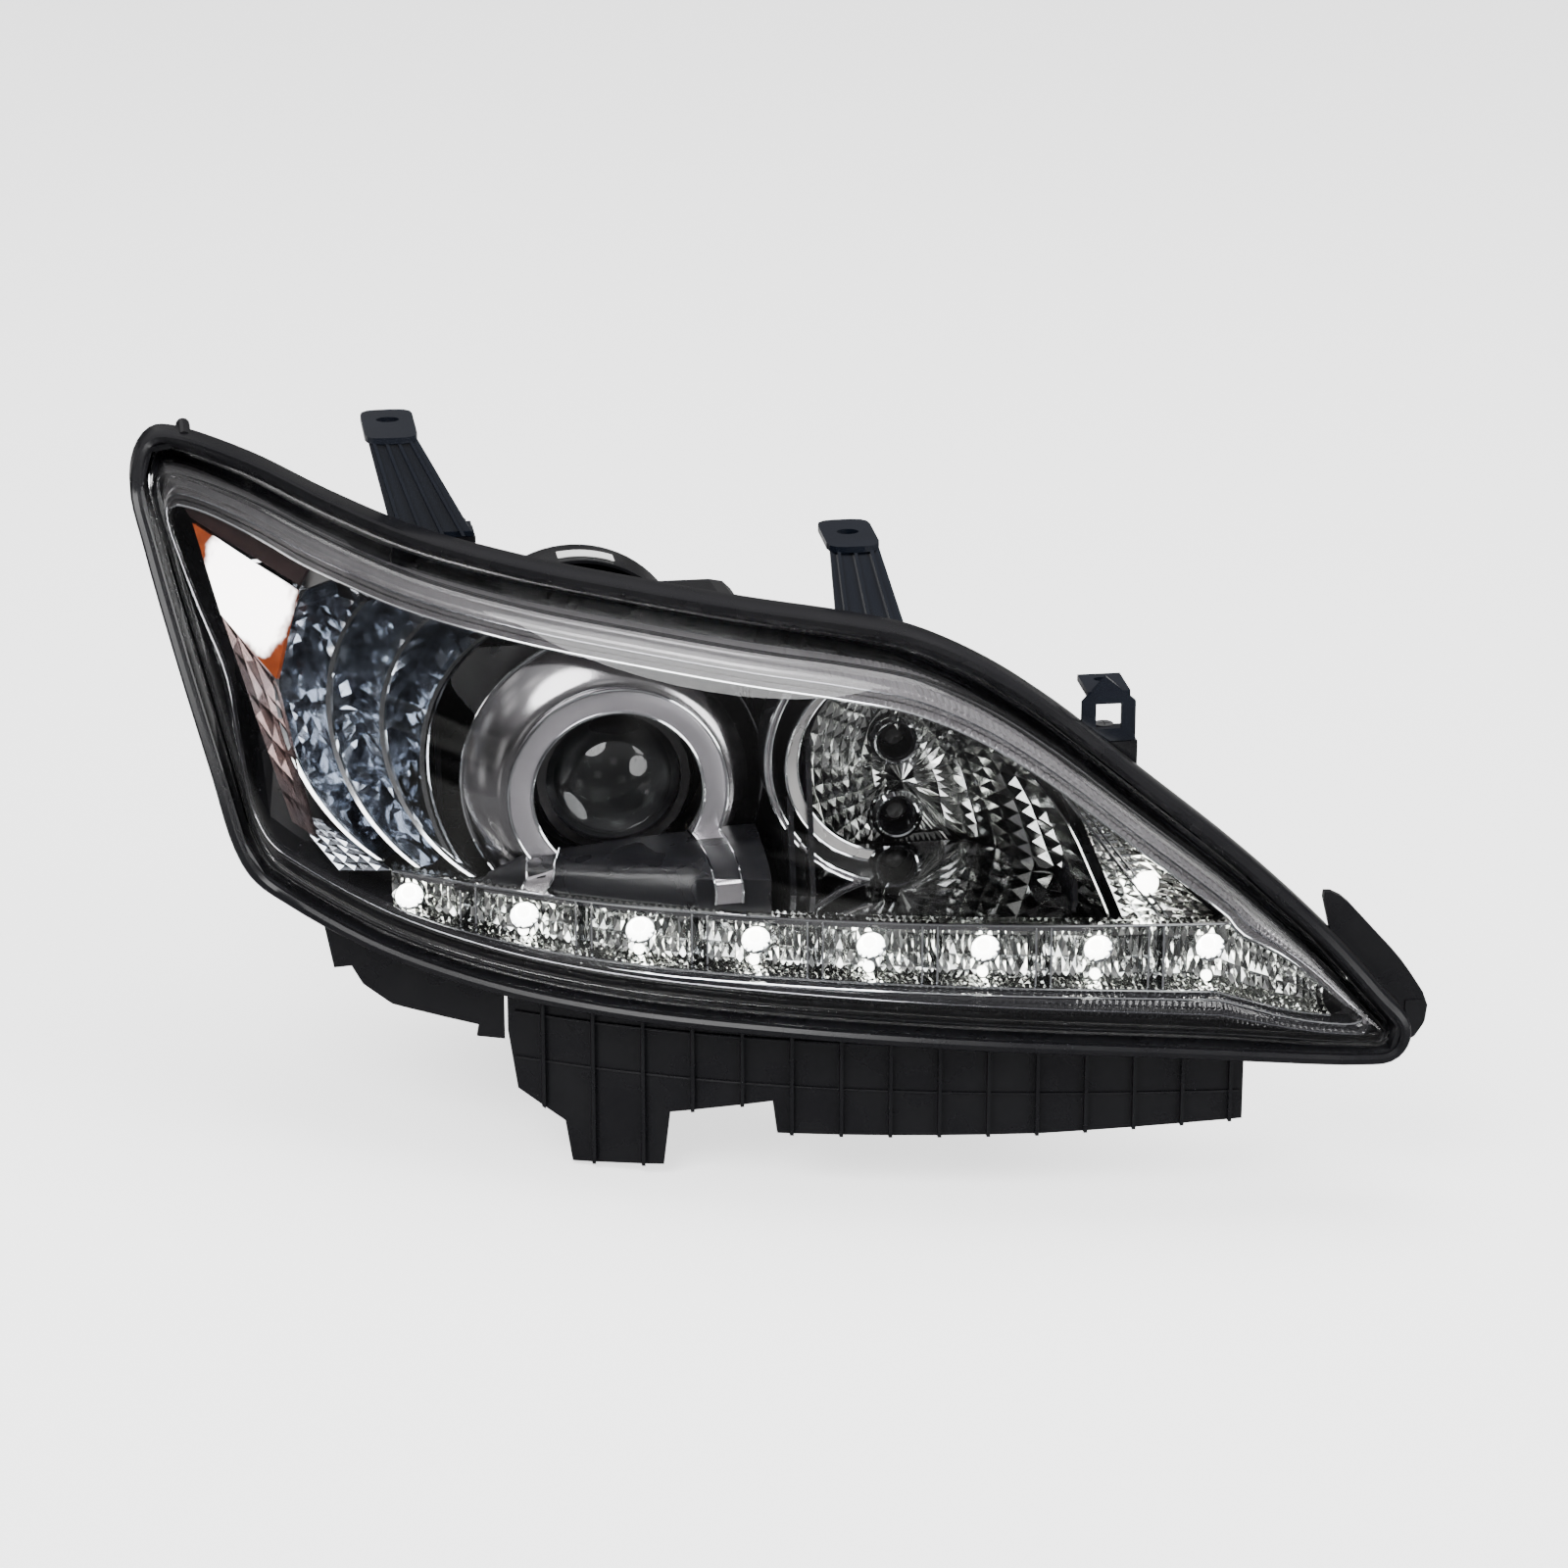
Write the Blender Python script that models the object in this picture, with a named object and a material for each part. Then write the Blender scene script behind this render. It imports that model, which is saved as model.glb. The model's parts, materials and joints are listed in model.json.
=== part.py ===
"""Right-hand projector headlight of a saloon car, as an assembly of separate pieces.

Design axes, in metres: +X runs inboard towards the grille, +Y to the rear of the car and +Z up.
The design origin is the centre of the low-beam trim ring, on its front face, and the optical axis
runs along Y through it. The whole design hangs from one empty, which moves the seat of the inner
upper bracket to the world origin.
"""
import math

import bmesh
import bpy
from mathutils import Vector
from mathutils.geometry import tessellate_polygon

# ---------------------------------------------------------------- driving dimensions
SEAT = Vector((0.1180, 0.0670, 0.0955))     # seat of the inner upper bracket, in design axes
GAP = 0.0003                                # clearance between pieces that touch
TURN_STEPS = 22                             # sides of a turned piece
SMALL_STEPS = 12                            # sides of a small turned piece
CAP_STEPS = 28

# The outer lens, seen from the front: x and z of its rear edge, clockwise from the outboard top.
LENS_OUTLINE = (
    (-0.207, 0.107), (-0.203, 0.116), (-0.194, 0.118), (-0.161, 0.114), (-0.126, 0.104),
    (-0.090, 0.095), (-0.040, 0.088), (0.013, 0.083), (0.062, 0.078), (0.104, 0.074),
    (0.134, 0.069), (0.164, 0.057), (0.192, 0.040), (0.228, 0.013), (0.272, -0.021),
    (0.308, -0.054), (0.332, -0.081), (0.342, -0.093), (0.340, -0.099), (0.332, -0.100),
    (0.244, -0.094), (0.156, -0.090), (0.068, -0.087), (-0.010, -0.085), (-0.062, -0.081),
    (-0.108, -0.073), (-0.146, -0.060), (-0.160, -0.053), (-0.167, -0.042), (-0.176, -0.010),
    (-0.189, 0.035), (-0.202, 0.083),
)
SPINE = (Vector((-0.150, 0.040)), Vector((0.262, -0.058)))  # rings shrink towards this line

# The face of the lens: y = TIP_Y + sweep of the distance p from the inboard tip + lean of the height.
TIP_X = 0.360
TIP_Y = -0.1157
SWEEP_LINEAR = 0.0435
SWEEP_CUBIC = 1.057
LEAN = 1.3
LEAN_BASE = -0.110
RETURN_BASE = 0.016                         # depth of the lens's side wall at the sides and below
RETURN_TOP = 0.024                          # added along the top, where the lens turns over
RETURN_FADE = 0.150                         # the addition dies away over this length at the tip
LENS_WALL = 0.0028

# Housing
SHELL_WALL = 0.0025
LIP_OUT = 0.0055                            # outer wall of the glue channel, outside the lens edge
LIP_FRONT = 0.009
CHANNEL_FLOOR = 0.0075                      # rear face of the channel behind the lens edge
SEAL_SPAN = (0.0022, 0.0034)                 # glue bead behind the lens edge
SEAL_SHIFTS = (-0.0005, 0.0025)             # and outside and inside it
TRAY_INSET = 0.003
TRAY_NARROW = 0.011
TRAY_WALL = 0.030
TRAY_DEPTH = 0.075                          # floor of the tray behind the lens face
TRAY_RINGS = (0.28, 0.54, 0.76)
LOW_BAY_BACK = 0.184
HIGH_BAY_BACK = 0.088
LOW_BAY = ((-0.080, -0.064), (-0.080, 0.061), (0.080, 0.061), (0.080, -0.064))
LOW_BAY_REAR = ((-0.077, -0.062), (-0.077, 0.044), (0.077, 0.044), (0.077, -0.062))
HIGH_BAY = ((0.0865, -0.070), (0.0865, 0.052), (0.135, 0.049), (0.178, 0.024), (0.208, -0.004),
            (0.208, -0.070))
LOW_BAY_RIM = (0.0300, -0.45, 0.28)         # slanted front of the bay: depth, rise per x and per z
HIGH_BAY_RIM = (0.0104, -0.19, 0.28)
VOID_LEAD = 0.012                           # the void of a bay starts this far in front of its rim
BAY_RADIUS = 0.012
COLLAR_LENGTH = 0.014
POST_R = 0.0050
POST_GAP = 0.0075                           # from the pivot ball to the end of its post
STUD_R = 0.0020
STUD_LENGTH = 0.016
BUSH_R = 0.0060
EAR = ((0.312, -0.030), (0.322, -0.034), (0.352, -0.068), (0.366, -0.090), (0.360, -0.107),
       (0.330, -0.113), (0.282, -0.109), (0.282, -0.0915), (0.326, -0.0925), (0.3225, -0.075),
       (0.3185, -0.0575))
EAR_Y = -0.0855
EAR_WALL = 0.0040
EAR_SEAT = ((0.3535, EAR_Y - 0.0008, -0.0990), (0.3612, EAR_Y + 0.0010, -0.0870))
CORNER_BOSS = (-0.189, 0.1245)
CORNER_BOSS_R = 0.0035
CORNER_BOSS_SPAN = (0.190, 0.214)

# Projector, on the optical axis
PROJECTOR_LENS_R = 0.0315
LENS_VERTEX_Y = 0.0100
LENS_EDGE_Y = 0.0280
LENS_REAR_Y = 0.0330
CARRIER_Y = 0.0900
CARRIER_WALL = 0.0025
CARRIER_BORE = 0.0325
CARRIER = ((-0.070, 0.026), (-0.070, 0.045), (0.070, 0.045), (0.070, 0.026), (0.057, 0.000),
           (0.057, -0.058), (0.035, -0.058), (0.030, -0.041), (-0.030, -0.041), (-0.050, 0.000))
TILT_Y = 0.0980                             # the projector tilts about this line, along X
TILT_Z = 0.0360
PIVOT_X = 0.0620
BALL_R = 0.0040
AIM_X = 0.0460                              # axis of the aiming screw
AIM_Z = -0.0500
SCREW_R = 0.0028
AIM_GEAR_R = 0.0085
AIM_GEAR_TEETH = 12
CLIP_Y = 0.1225                             # hinge of the bulb clip, along X
CLIP_Z = 0.0150
CLIP_WIRE_R = 0.0007
WELD = 1e-6

# Trim
RING_OUTER = 0.0512
RING_INNER = 0.0395
SHROUD_REAR_R = 0.0715
SHROUD_DEPTH = 0.0260
SHELF_Z = -0.0450                           # upper face of the gloss shelf
SHELF_WALL = 0.0020
SHELF_FRONT = 0.020                         # front edge of the shelf behind the lens face
SHELF_REAR_Y = 0.0400                       # rear edge where a bay lies behind it
SHELF_SPAN = (-0.098, 0.212)
SHELF_BAYS = ((-0.0750, 0.0750), (0.0925, 0.2025))
SHELF_OPEN_TO = 0.052                       # rear edge behind the lens face between the bays
TRIM_WALL = 0.0016
WINDOW_INSET = 0.0140                       # edge of the trim window inside the lens edge
WINDOW_INSET_TOP = 0.0060
WINDOW_INSET_LOW = 0.0190                   # added along the bottom for each metre of x
WINDOW_BEHIND = 0.0120                      # trim window behind the lens face
WINDOW_RETURN = 0.0090

# Stepped fins outboard of the projector: centre x, centre z, radius, depth behind the lens face
STEP_ARCS = ((-0.0100, 0.0050, 0.0755, 0.0260), (-0.0240, 0.0130, 0.0690, 0.0480),
             (-0.0355, 0.0200, 0.0675, 0.0220), (-0.0440, 0.0225, 0.0705, 0.0480),
             (-0.0510, 0.0245, 0.0755, 0.0220), (-0.0620, 0.0270, 0.0755, 0.0480),
             (-0.0720, 0.0290, 0.0775, 0.0220), (-0.0750, 0.0290, 0.0780, 0.0400))
STEP_LOW = -0.0405
STEP_HIGH = 0.0610
STEP_POINTS = 12

# High-beam and turn-signal reflector: its front edge, x and z
CHAMBER = ((0.090, -0.0430), (0.070, -0.015), (0.068, 0.012), (0.074, 0.034), (0.092, 0.050),
           (0.130, 0.046), (0.160, 0.036), (0.184, 0.019), (0.200, -0.006), (0.214, -0.0430))
CHAMBER_CENTRE = (0.1380, -0.0020)
CHAMBER_BEHIND = 0.0300
CHAMBER_STEPS = ((-0.004, 0.56, 0.80), (0.045, 0.40, 0.72))  # depth, share in x, share in z
BULB_HOLE_R = 0.0097

# Side reflector and marker, corners clockwise from the outboard top
AMBER = ((-0.187, 0.094), (-0.141, 0.075), (-0.152, 0.034), (-0.176, 0.057))
AMBER_BEHIND = 0.0140
AMBER_WALL = 0.0030
MARKER_TRIM = ((-0.171, 0.046), (-0.155, 0.029), (-0.138, -0.035), (-0.147, -0.030))
MARKER_TRIM_BEHIND = 0.0200
TIP_TRIM = ((0.201, 0.008), (0.207, 0.003), (0.257, -0.0440), (0.224, -0.0440))
TIP_TRIM_BEHIND = 0.0300

# Bulb positions on the rear of the lamp, x and z
LOW_AXIS = (0.0, 0.0)
HIGH_AXIS = (0.1360, 0.0050)
TURN_AXIS = (0.1370, -0.0325)
MARKER_AXIS = (-0.1570, 0.0610)
SOCKET_BORE = 0.0135                        # holes of the two bulb sockets
SOCKET_FLANGE_R = 0.0165
MARKER_R = 0.0150
MARKER_FRONT = 0.1520
MARKER_BACK = 0.2000
COLLAR_R = 0.0410
CAP_R = 0.0555
CAP_SKIRT_R = 0.0455                        # outside of the skirt that holds the seal
LABEL_SPAN = (0.1920, 0.2020)               # blank label on top of the cap: depths, degrees
LABEL_ARC = (99.0, 70.0)
CAP_BACK = 0.2165
CAP_WALL = 0.0030
LABEL_POINTS = 11
VENT_AXES = ((-0.062, -0.047), (0.064, 0.016))
VENT_BORE = 0.0030
CONNECTOR_X = 0.1850
CONNECTOR_Z = -0.0450

# LED strip along the lower edge
LED_COUNT = 8
LED_FIRST_X = -0.0960
LED_PITCH = 0.0509
LED_Z = -0.0545
LED_SIZE = 0.0040
STRIP_START = -0.1020
STRIP_END = 0.2900
STRIP_STATIONS = 22
STRIP_TOP = -0.0482
STRIP_BOTTOM = -0.0630
STRIP_BOTTOM_SLOPE = -0.030
STRIP_TAPER_X = 0.2660                      # the top of the strip falls towards the tip from here
STRIP_TAPER = -0.72
STRIP_FRONT = 0.0160                        # front edge of the trough behind the lens face
STRIP_BACK = 0.0320
BOARD_HALF = 0.0037
BOARD_WALL = 0.0012
TIP_LED = (0.2330, -0.0280)

# Brackets: head as x low, x high, y front, y back, z of its seat; foot as x low, x high, y, z
BRACKET_WALL = 0.0030
FOOT_DEPTH = 0.0170
FOOT_WALL = 0.0024
SCREW_INSET = 0.0070                        # bracket screws from the ends of the foot
PAD_DEPTH = 0.0120                          # height of the pads moulded on the housing
RIB_WIDTH = 0.0016
RIB_HEIGHT = 0.0030
OUTER_HEAD = (-0.1050, -0.0800, 0.1280, 0.1780, 0.1355)
OUTER_HOLE = (-0.0925, 0.1600, 0.0045)
OUTER_FOOT = (-0.0940, -0.0560, 0.1150, 0.0925)
OUTER_GUSSET = ((-0.0600, 0.1150, 0.0480), (-0.0575, 0.1330, 0.0830))
INNER_HEAD = (0.1055, 0.1305, 0.0540, 0.0980, 0.0955)
INNER_HOLE = (0.1180, 0.0780, 0.0042)
INNER_FOOT = (0.1070, 0.1410, 0.0330, 0.0563)
SIDE_TAB = ((0.2090, 0.0290), (0.2090, 0.0480), (0.2200, 0.0600), (0.2340, 0.0480),
            (0.2340, 0.0290))
SIDE_FOOT = (0.2090, 0.2340, -0.0375, 0.0290)
SIDE_HEAD_Z = 0.0500
SIDE_HEAD_DEPTH = 0.0260
SIDE_HOLE_Y = 0.0180                        # hole of the side bracket's head behind its front face
SIDE_HOLE_R = 0.0030
FEET = (OUTER_FOOT, INNER_FOOT, SIDE_FOOT)
APRON = ((-0.053, -0.0800), (0.000, -0.0832), (0.156, -0.0880), (0.244, -0.0918),
         (0.279, -0.0944), (0.279, -0.1430), (0.187, -0.1490), (0.067, -0.1530),
         (0.065, -0.1370), (0.019, -0.1470), (0.016, -0.1740), (-0.025, -0.1780),
         (-0.028, -0.1580), (-0.049, -0.1450), (-0.053, -0.1170))
APRON_BEHIND = 0.0285
APRON_WALL = 0.0025
APRON_RIBS = 16
APRON_RIB_DEPTH = 0.0028
FENDER_BRACKET = ((-0.139, -0.0600), (-0.108, -0.0705), (-0.062, -0.0785), (-0.0545, -0.0797),
                  (-0.0545, -0.1210), (-0.067, -0.1220), (-0.066, -0.1160), (-0.105, -0.1140),
                  (-0.118, -0.1070), (-0.123, -0.0990), (-0.131, -0.1020))
FASTENER_R = 0.0022
FASTENER_HEAD_R = 0.0045
LENS_ROUND = 0.0060                         # depth over which the lens edge is rounded

# finish of each piece: colour, roughness, metallic
FINISHES = {
    "black_plastic": ((0.012, 0.012, 0.014), 0.42, 0.0),
    "bracket_plastic": ((0.010, 0.014, 0.022), 0.38, 0.0),
    "clear_plastic": ((0.90, 0.92, 0.93), 0.03, 0.0),
    "chrome": ((0.80, 0.81, 0.82), 0.06, 1.0),
    "smoked_chrome": ((0.18, 0.18, 0.19), 0.12, 1.0),
    "gloss_black": ((0.010, 0.010, 0.011), 0.05, 0.6),
    "amber_plastic": ((0.85, 0.22, 0.02), 0.12, 0.0),
    "glass": ((0.85, 0.90, 0.92), 0.02, 0.0),
    "rubber": ((0.018, 0.018, 0.018), 0.75, 0.0),
    "steel": ((0.55, 0.55, 0.56), 0.28, 1.0),
    "nylon": ((0.80, 0.79, 0.74), 0.45, 0.0),
    "aluminium": ((0.62, 0.63, 0.64), 0.32, 1.0),
    "circuit_board": ((0.85, 0.86, 0.84), 0.45, 0.0),
    "label": ((0.88, 0.88, 0.86), 0.55, 0.0),
}


# ---------------------------------------------------------------- outline and face of the lens
def face_y(x, z):
    """Depth of the lens face at a point of the front view."""
    run = max(TIP_X - x, 0.0)
    return TIP_Y + SWEEP_LINEAR * run + SWEEP_CUBIC * run ** 3 + LEAN * (z - LEAN_BASE) ** 2


def outward(loop):
    """Outward normal at each point of a clockwise loop."""
    normals = []
    for i, point in enumerate(loop):
        along = loop[(i + 1) % len(loop)] - loop[i - 1]
        normals.append(Vector((-along.y, along.x)).normalized())
    return normals


LOOP = [Vector(point) for point in LENS_OUTLINE]
NORMALS = outward(LOOP)


def spine_point(point):
    """Nearest point of the spine."""
    along = SPINE[1] - SPINE[0]
    share = (point - SPINE[0]).dot(along) / along.length_squared
    return SPINE[0].lerp(SPINE[1], min(max(share, 0.0), 1.0))


def inward(point, distance):
    """The point moved towards the spine."""
    return point + (spine_point(point) - point).normalized() * distance


def edge_y(i):
    """Depth of the lens's rear edge at loop point i."""
    point = LOOP[i]
    fade = min(max((TIP_X - 0.015 - point.x) / RETURN_FADE, 0.0), 1.0)
    turn_over = RETURN_TOP * max(NORMALS[i].y, 0.0) * fade
    return face_y(point.x, point.y) + RETURN_BASE + turn_over


def ring(shift, y_at):
    """Loop moved inside the lens edge by shift (outside it when negative), at depth y_at(i, x, z)."""
    points = []
    for i, point in enumerate(LOOP):
        amount = shift(i) if callable(shift) else shift
        moved = inward(point, amount) if amount > 0 else point - NORMALS[i] * amount
        points.append(Vector((moved.x, y_at(i, moved.x, moved.y), moved.y)))
    return points


def edge_ring(shift, behind):
    """Ring that follows the lens's rear edge, behind it by a fixed depth."""
    return ring(shift, lambda i, x, z: edge_y(i) + behind)


def face_ring(shift, behind):
    """Ring that follows the lens face, behind it by a fixed depth."""
    return ring(shift, lambda i, x, z: face_y(x, z) + behind)


def shrunk(points, share, y_at):
    """Ring drawn a share of the way to the spine."""
    result = []
    for point in points:
        flat = Vector((point.x, point.z))
        moved = flat.lerp(spine_point(flat), share)
        result.append(Vector((moved.x, y_at(moved.x, moved.y), moved.y)))
    return result


# ---------------------------------------------------------------- making objects
def clear_scene():
    for thing in list(bpy.data.objects):
        bpy.data.objects.remove(thing, do_unlink=True)


def finish_material(name, finish):
    colour, roughness, metallic = FINISHES[finish]
    material = bpy.data.materials.new(name)
    material.use_nodes = True
    shader = material.node_tree.nodes["Principled BSDF"]
    shader.inputs["Base Color"].default_value = (*colour, 1.0)
    shader.inputs["Roughness"].default_value = roughness
    shader.inputs["Metallic"].default_value = metallic
    return material


def make(name, bm, closed=True):
    """Turn a bmesh into an object of the scene."""
    if closed:
        bmesh.ops.recalc_face_normals(bm, faces=bm.faces)
    mesh = bpy.data.meshes.new(name)
    bm.to_mesh(mesh)
    bm.free()
    thing = bpy.data.objects.new(name, mesh)
    bpy.context.scene.collection.objects.link(thing)
    return thing


def apply_modifiers(thing):
    """Replace the object's mesh by its evaluated one."""
    bpy.context.view_layer.update()
    evaluated = thing.evaluated_get(bpy.context.evaluated_depsgraph_get())
    mesh = bpy.data.meshes.new_from_object(evaluated)
    thing.modifiers.clear()
    thing.data = mesh


def combine(target, tools, operation):
    """Union, difference or intersection of the target with each tool, which is used up."""
    for tool in tools:
        boolean = target.modifiers.new("Boolean", "BOOLEAN")
        boolean.operation = operation
        boolean.solver = "EXACT"
        boolean.object = tool
        apply_modifiers(target)
        bpy.data.objects.remove(tool, do_unlink=True)
    return target


def cut(target, *tools):
    return combine(target, tools, "DIFFERENCE")


def fuse(target, *tools):
    return combine(target, tools, "UNION")


def finish(thing, finish_name, parent, origin=(0.0, 0.0, 0.0), smooth_angle=30.0):
    """Give the object its material, put its origin on its joint axis and hang it from the parent."""
    offset = Vector(origin)
    for vertex in thing.data.vertices:
        vertex.co -= offset
    thing.location = offset
    thing.parent = parent
    thing.data.materials.clear()
    thing.data.materials.append(finish_material(thing.name + "_finish", finish_name))
    thing.data.shade_smooth()
    thing.data.set_sharp_from_angle(angle=math.radians(smooth_angle))
    return thing


def sheet(name, rings, thickness, side, capped=False, closed_loop=True, even=True):
    """Shell through successive rings of equal length, thickened to one side (+1 or -1)."""
    bm = bmesh.new()
    rows = [[bm.verts.new(point) for point in points] for points in rings]
    count = len(rows[0])
    last = count if closed_loop else count - 1
    for row, following in zip(rows, rows[1:]):
        for i in range(last):
            j = (i + 1) % count
            bm.faces.new((row[i], following[i], following[j], row[j]))
    if capped:
        front_view = [Vector((vert.co.x, vert.co.z, 0.0)) for vert in rows[-1]]
        for a, b, c in tessellate_polygon([front_view]):
            turn = (front_view[b] - front_view[a]).cross(front_view[c] - front_view[a])
            corners = (a, b, c) if turn.z > 0.0 else (c, b, a)
            bm.faces.new([rows[-1][i] for i in corners])
    thing = make(name, bm, closed=False)
    solid = thing.modifiers.new("Solidify", "SOLIDIFY")
    solid.thickness = thickness
    solid.offset = side
    solid.use_even_offset = even
    apply_modifiers(thing)
    return thing


def tube_loop(name, rings):
    """Closed ring-shaped solid whose section is spanned by the rings in order."""
    bm = bmesh.new()
    rows = [[bm.verts.new(point) for point in points] for points in rings]
    count = len(rows[0])
    for k, row in enumerate(rows):
        following = rows[(k + 1) % len(rows)]
        for i in range(count):
            j = (i + 1) % count
            bm.faces.new((row[i], following[i], following[j], row[j]))
    return make(name, bm)


def turned(name, profile, centre=LOW_AXIS, steps=TURN_STEPS):
    """Solid turned about an axis along Y. The profile lists (radius, y); it ends on the axis
    at both ends, or closes on itself when it never meets the axis."""
    bm = bmesh.new()
    rows = []
    for radius, y in profile:
        if radius == 0.0:
            rows.append([bm.verts.new((centre[0], y, centre[1]))])
            continue
        row = []
        for step in range(steps):
            angle = 2.0 * math.pi * step / steps
            row.append(bm.verts.new((centre[0] + radius * math.cos(angle), y,
                                     centre[1] + radius * math.sin(angle))))
        rows.append(row)
    pairs = list(zip(rows, rows[1:]))
    if profile[0][0] > 0.0:
        pairs.append((rows[-1], rows[0]))
    for row, following in pairs:
        for step in range(steps):
            nxt = (step + 1) % steps
            corners = [row[step % len(row)], row[nxt % len(row)],
                       following[nxt % len(following)], following[step % len(following)]]
            unique = list(dict.fromkeys(corners))
            if len(unique) > 2:
                bm.faces.new(unique)
    return make(name, bm)


def loft(name, loop_a, loop_b):
    """Closed solid between two loops of 3-D points."""
    bm = bmesh.new()
    a = [bm.verts.new(point) for point in loop_a]
    b = [bm.verts.new(point) for point in loop_b]
    bm.faces.new(a)
    bm.faces.new(list(reversed(b)))
    for i in range(len(a)):
        j = (i + 1) % len(a)
        bm.faces.new((a[j], a[i], b[i], b[j]))
    return make(name, bm)


def prism(name, outline, y_front, y_back):
    """Outline of the front view (x, z), extruded along Y."""
    return loft(name, [(x, y_front, z) for x, z in outline], [(x, y_back, z) for x, z in outline])


def slab(name, outline, z_low, z_high):
    """Outline of the plan view (x, y), extruded along Z."""
    return loft(name, [(x, y, z_low) for x, y in outline], [(x, y, z_high) for x, y in outline])


def block(name, low, high):
    outline = ((low[0], low[2]), (high[0], low[2]), (high[0], high[2]), (low[0], high[2]))
    return prism(name, outline, low[1], high[1])


def cylinder(name, centre, radius, y_front, y_back, steps=SMALL_STEPS):
    """Round bar along Y."""
    profile = ((0.0, y_front), (radius, y_front), (radius, y_back), (0.0, y_back))
    return turned(name, profile, centre, steps)


def upright_hole(name, x, y, radius, z_low, z_high, stretch=1.0):
    """Cutter for a hole along Z, stretched along X into a slot."""
    outline = []
    for step in range(SMALL_STEPS):
        angle = 2.0 * math.pi * step / SMALL_STEPS
        outline.append((x + stretch * radius * math.cos(angle), y + radius * math.sin(angle)))
    return slab(name, outline, z_low, z_high)


def rounded(outline, radius, steps=4):
    """Outline with each corner replaced by an arc-like curve."""
    points = [Vector(point) for point in outline]
    result = []
    for i, corner in enumerate(points):
        before = (points[i - 1] - corner)
        after = (points[(i + 1) % len(points)] - corner)
        reach = min(radius, before.length * 0.48, after.length * 0.48)
        start = corner + before.normalized() * reach
        end = corner + after.normalized() * reach
        for step in range(steps):
            t = step / (steps - 1)
            result.append(tuple(start.lerp(corner, t).lerp(corner.lerp(end, t), t)))
    return result


def patch(name, corners, behind, thickness, columns=5, rows=5):
    """Plate that follows the lens face between four corners (x, z), given clockwise."""
    top_a, top_b, low_b, low_a = [Vector(corner) for corner in corners]
    lines = []
    for row in range(rows + 1):
        down = row / rows
        line = []
        for column in range(columns + 1):
            across = column / columns
            point = top_a.lerp(top_b, across).lerp(low_a.lerp(low_b, across), down)
            line.append(Vector((point.x, face_y(point.x, point.y) + behind, point.y)))
        lines.append(line)
    return sheet(name, lines, thickness, -1, closed_loop=False)


# ---------------------------------------------------------------- body of the lamp
def inset_outline(outline, amount):
    """Outline drawn in towards its centre by about the amount on each side."""
    centre = sum((Vector(point) for point in outline), Vector((0.0, 0.0))) / len(outline)
    half_x = max(abs(x - centre.x) for x, _ in outline)
    half_z = max(abs(z - centre.y) for _, z in outline)
    return [(centre.x + (x - centre.x) * (1.0 - amount / half_x),
             centre.y + (z - centre.y) * (1.0 - amount / half_z)) for x, z in outline]


def bay(name, front_outline, rear_outline, rim, y_back):
    """Outer solid and inner void of a bay behind the tray; its front is a slanted plane."""
    depth, per_x, per_z = rim
    front = rounded(front_outline, BAY_RADIUS)
    rear = rounded(rear_outline, BAY_RADIUS)
    outer = loft(name + "_outer", [(x, depth + per_x * x + per_z * z, z) for x, z in front],
                 [(x, y_back, z) for x, z in rear])
    depth -= VOID_LEAD
    front = inset_outline(front, SHELL_WALL)
    rear = inset_outline(rear, SHELL_WALL)
    inner = loft(name + "_inner", [(x, depth + per_x * x + per_z * z, z) for x, z in front],
                 [(x, y_back - SHELL_WALL, z) for x, z in rear])
    return outer, inner


def tray_y(x, z):
    return face_y(x, z) + TRAY_DEPTH


def tube(name, axis, outer, bore, y_front, y_back):
    """Round tube along Y."""
    return turned(name, ((outer, y_front), (outer, y_back), (bore, y_back), (bore, y_front)), axis)


def screw_places(foot):
    """Places of the screws in a bracket foot, x and y: two in a wide foot, one in a narrow one."""
    x_low, x_high, y, _ = foot
    at_y = y + FOOT_DEPTH - 0.0055
    if x_high - x_low < 0.030:
        return [((x_low + x_high) / 2, at_y)]
    return [(x_low + SCREW_INSET, at_y), (x_high - SCREW_INSET, at_y)]


def pad(foot):
    """Block under a bracket foot, moulded with the housing."""
    x_low, x_high, y, z = foot
    return block("pad", (x_low - 0.001, y - 0.0005, z - GAP - PAD_DEPTH),
                 (x_high + 0.001, y + FOOT_DEPTH + 0.001, z - GAP))


def pad_bores(foot):
    """Cutters for the blind screw holes of a pad."""
    z = foot[3]
    return [upright_hole("bore", x, y, FASTENER_R + GAP, z - PAD_DEPTH + 0.0015, z + 0.004)
            for x, y in screw_places(foot)]


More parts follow.
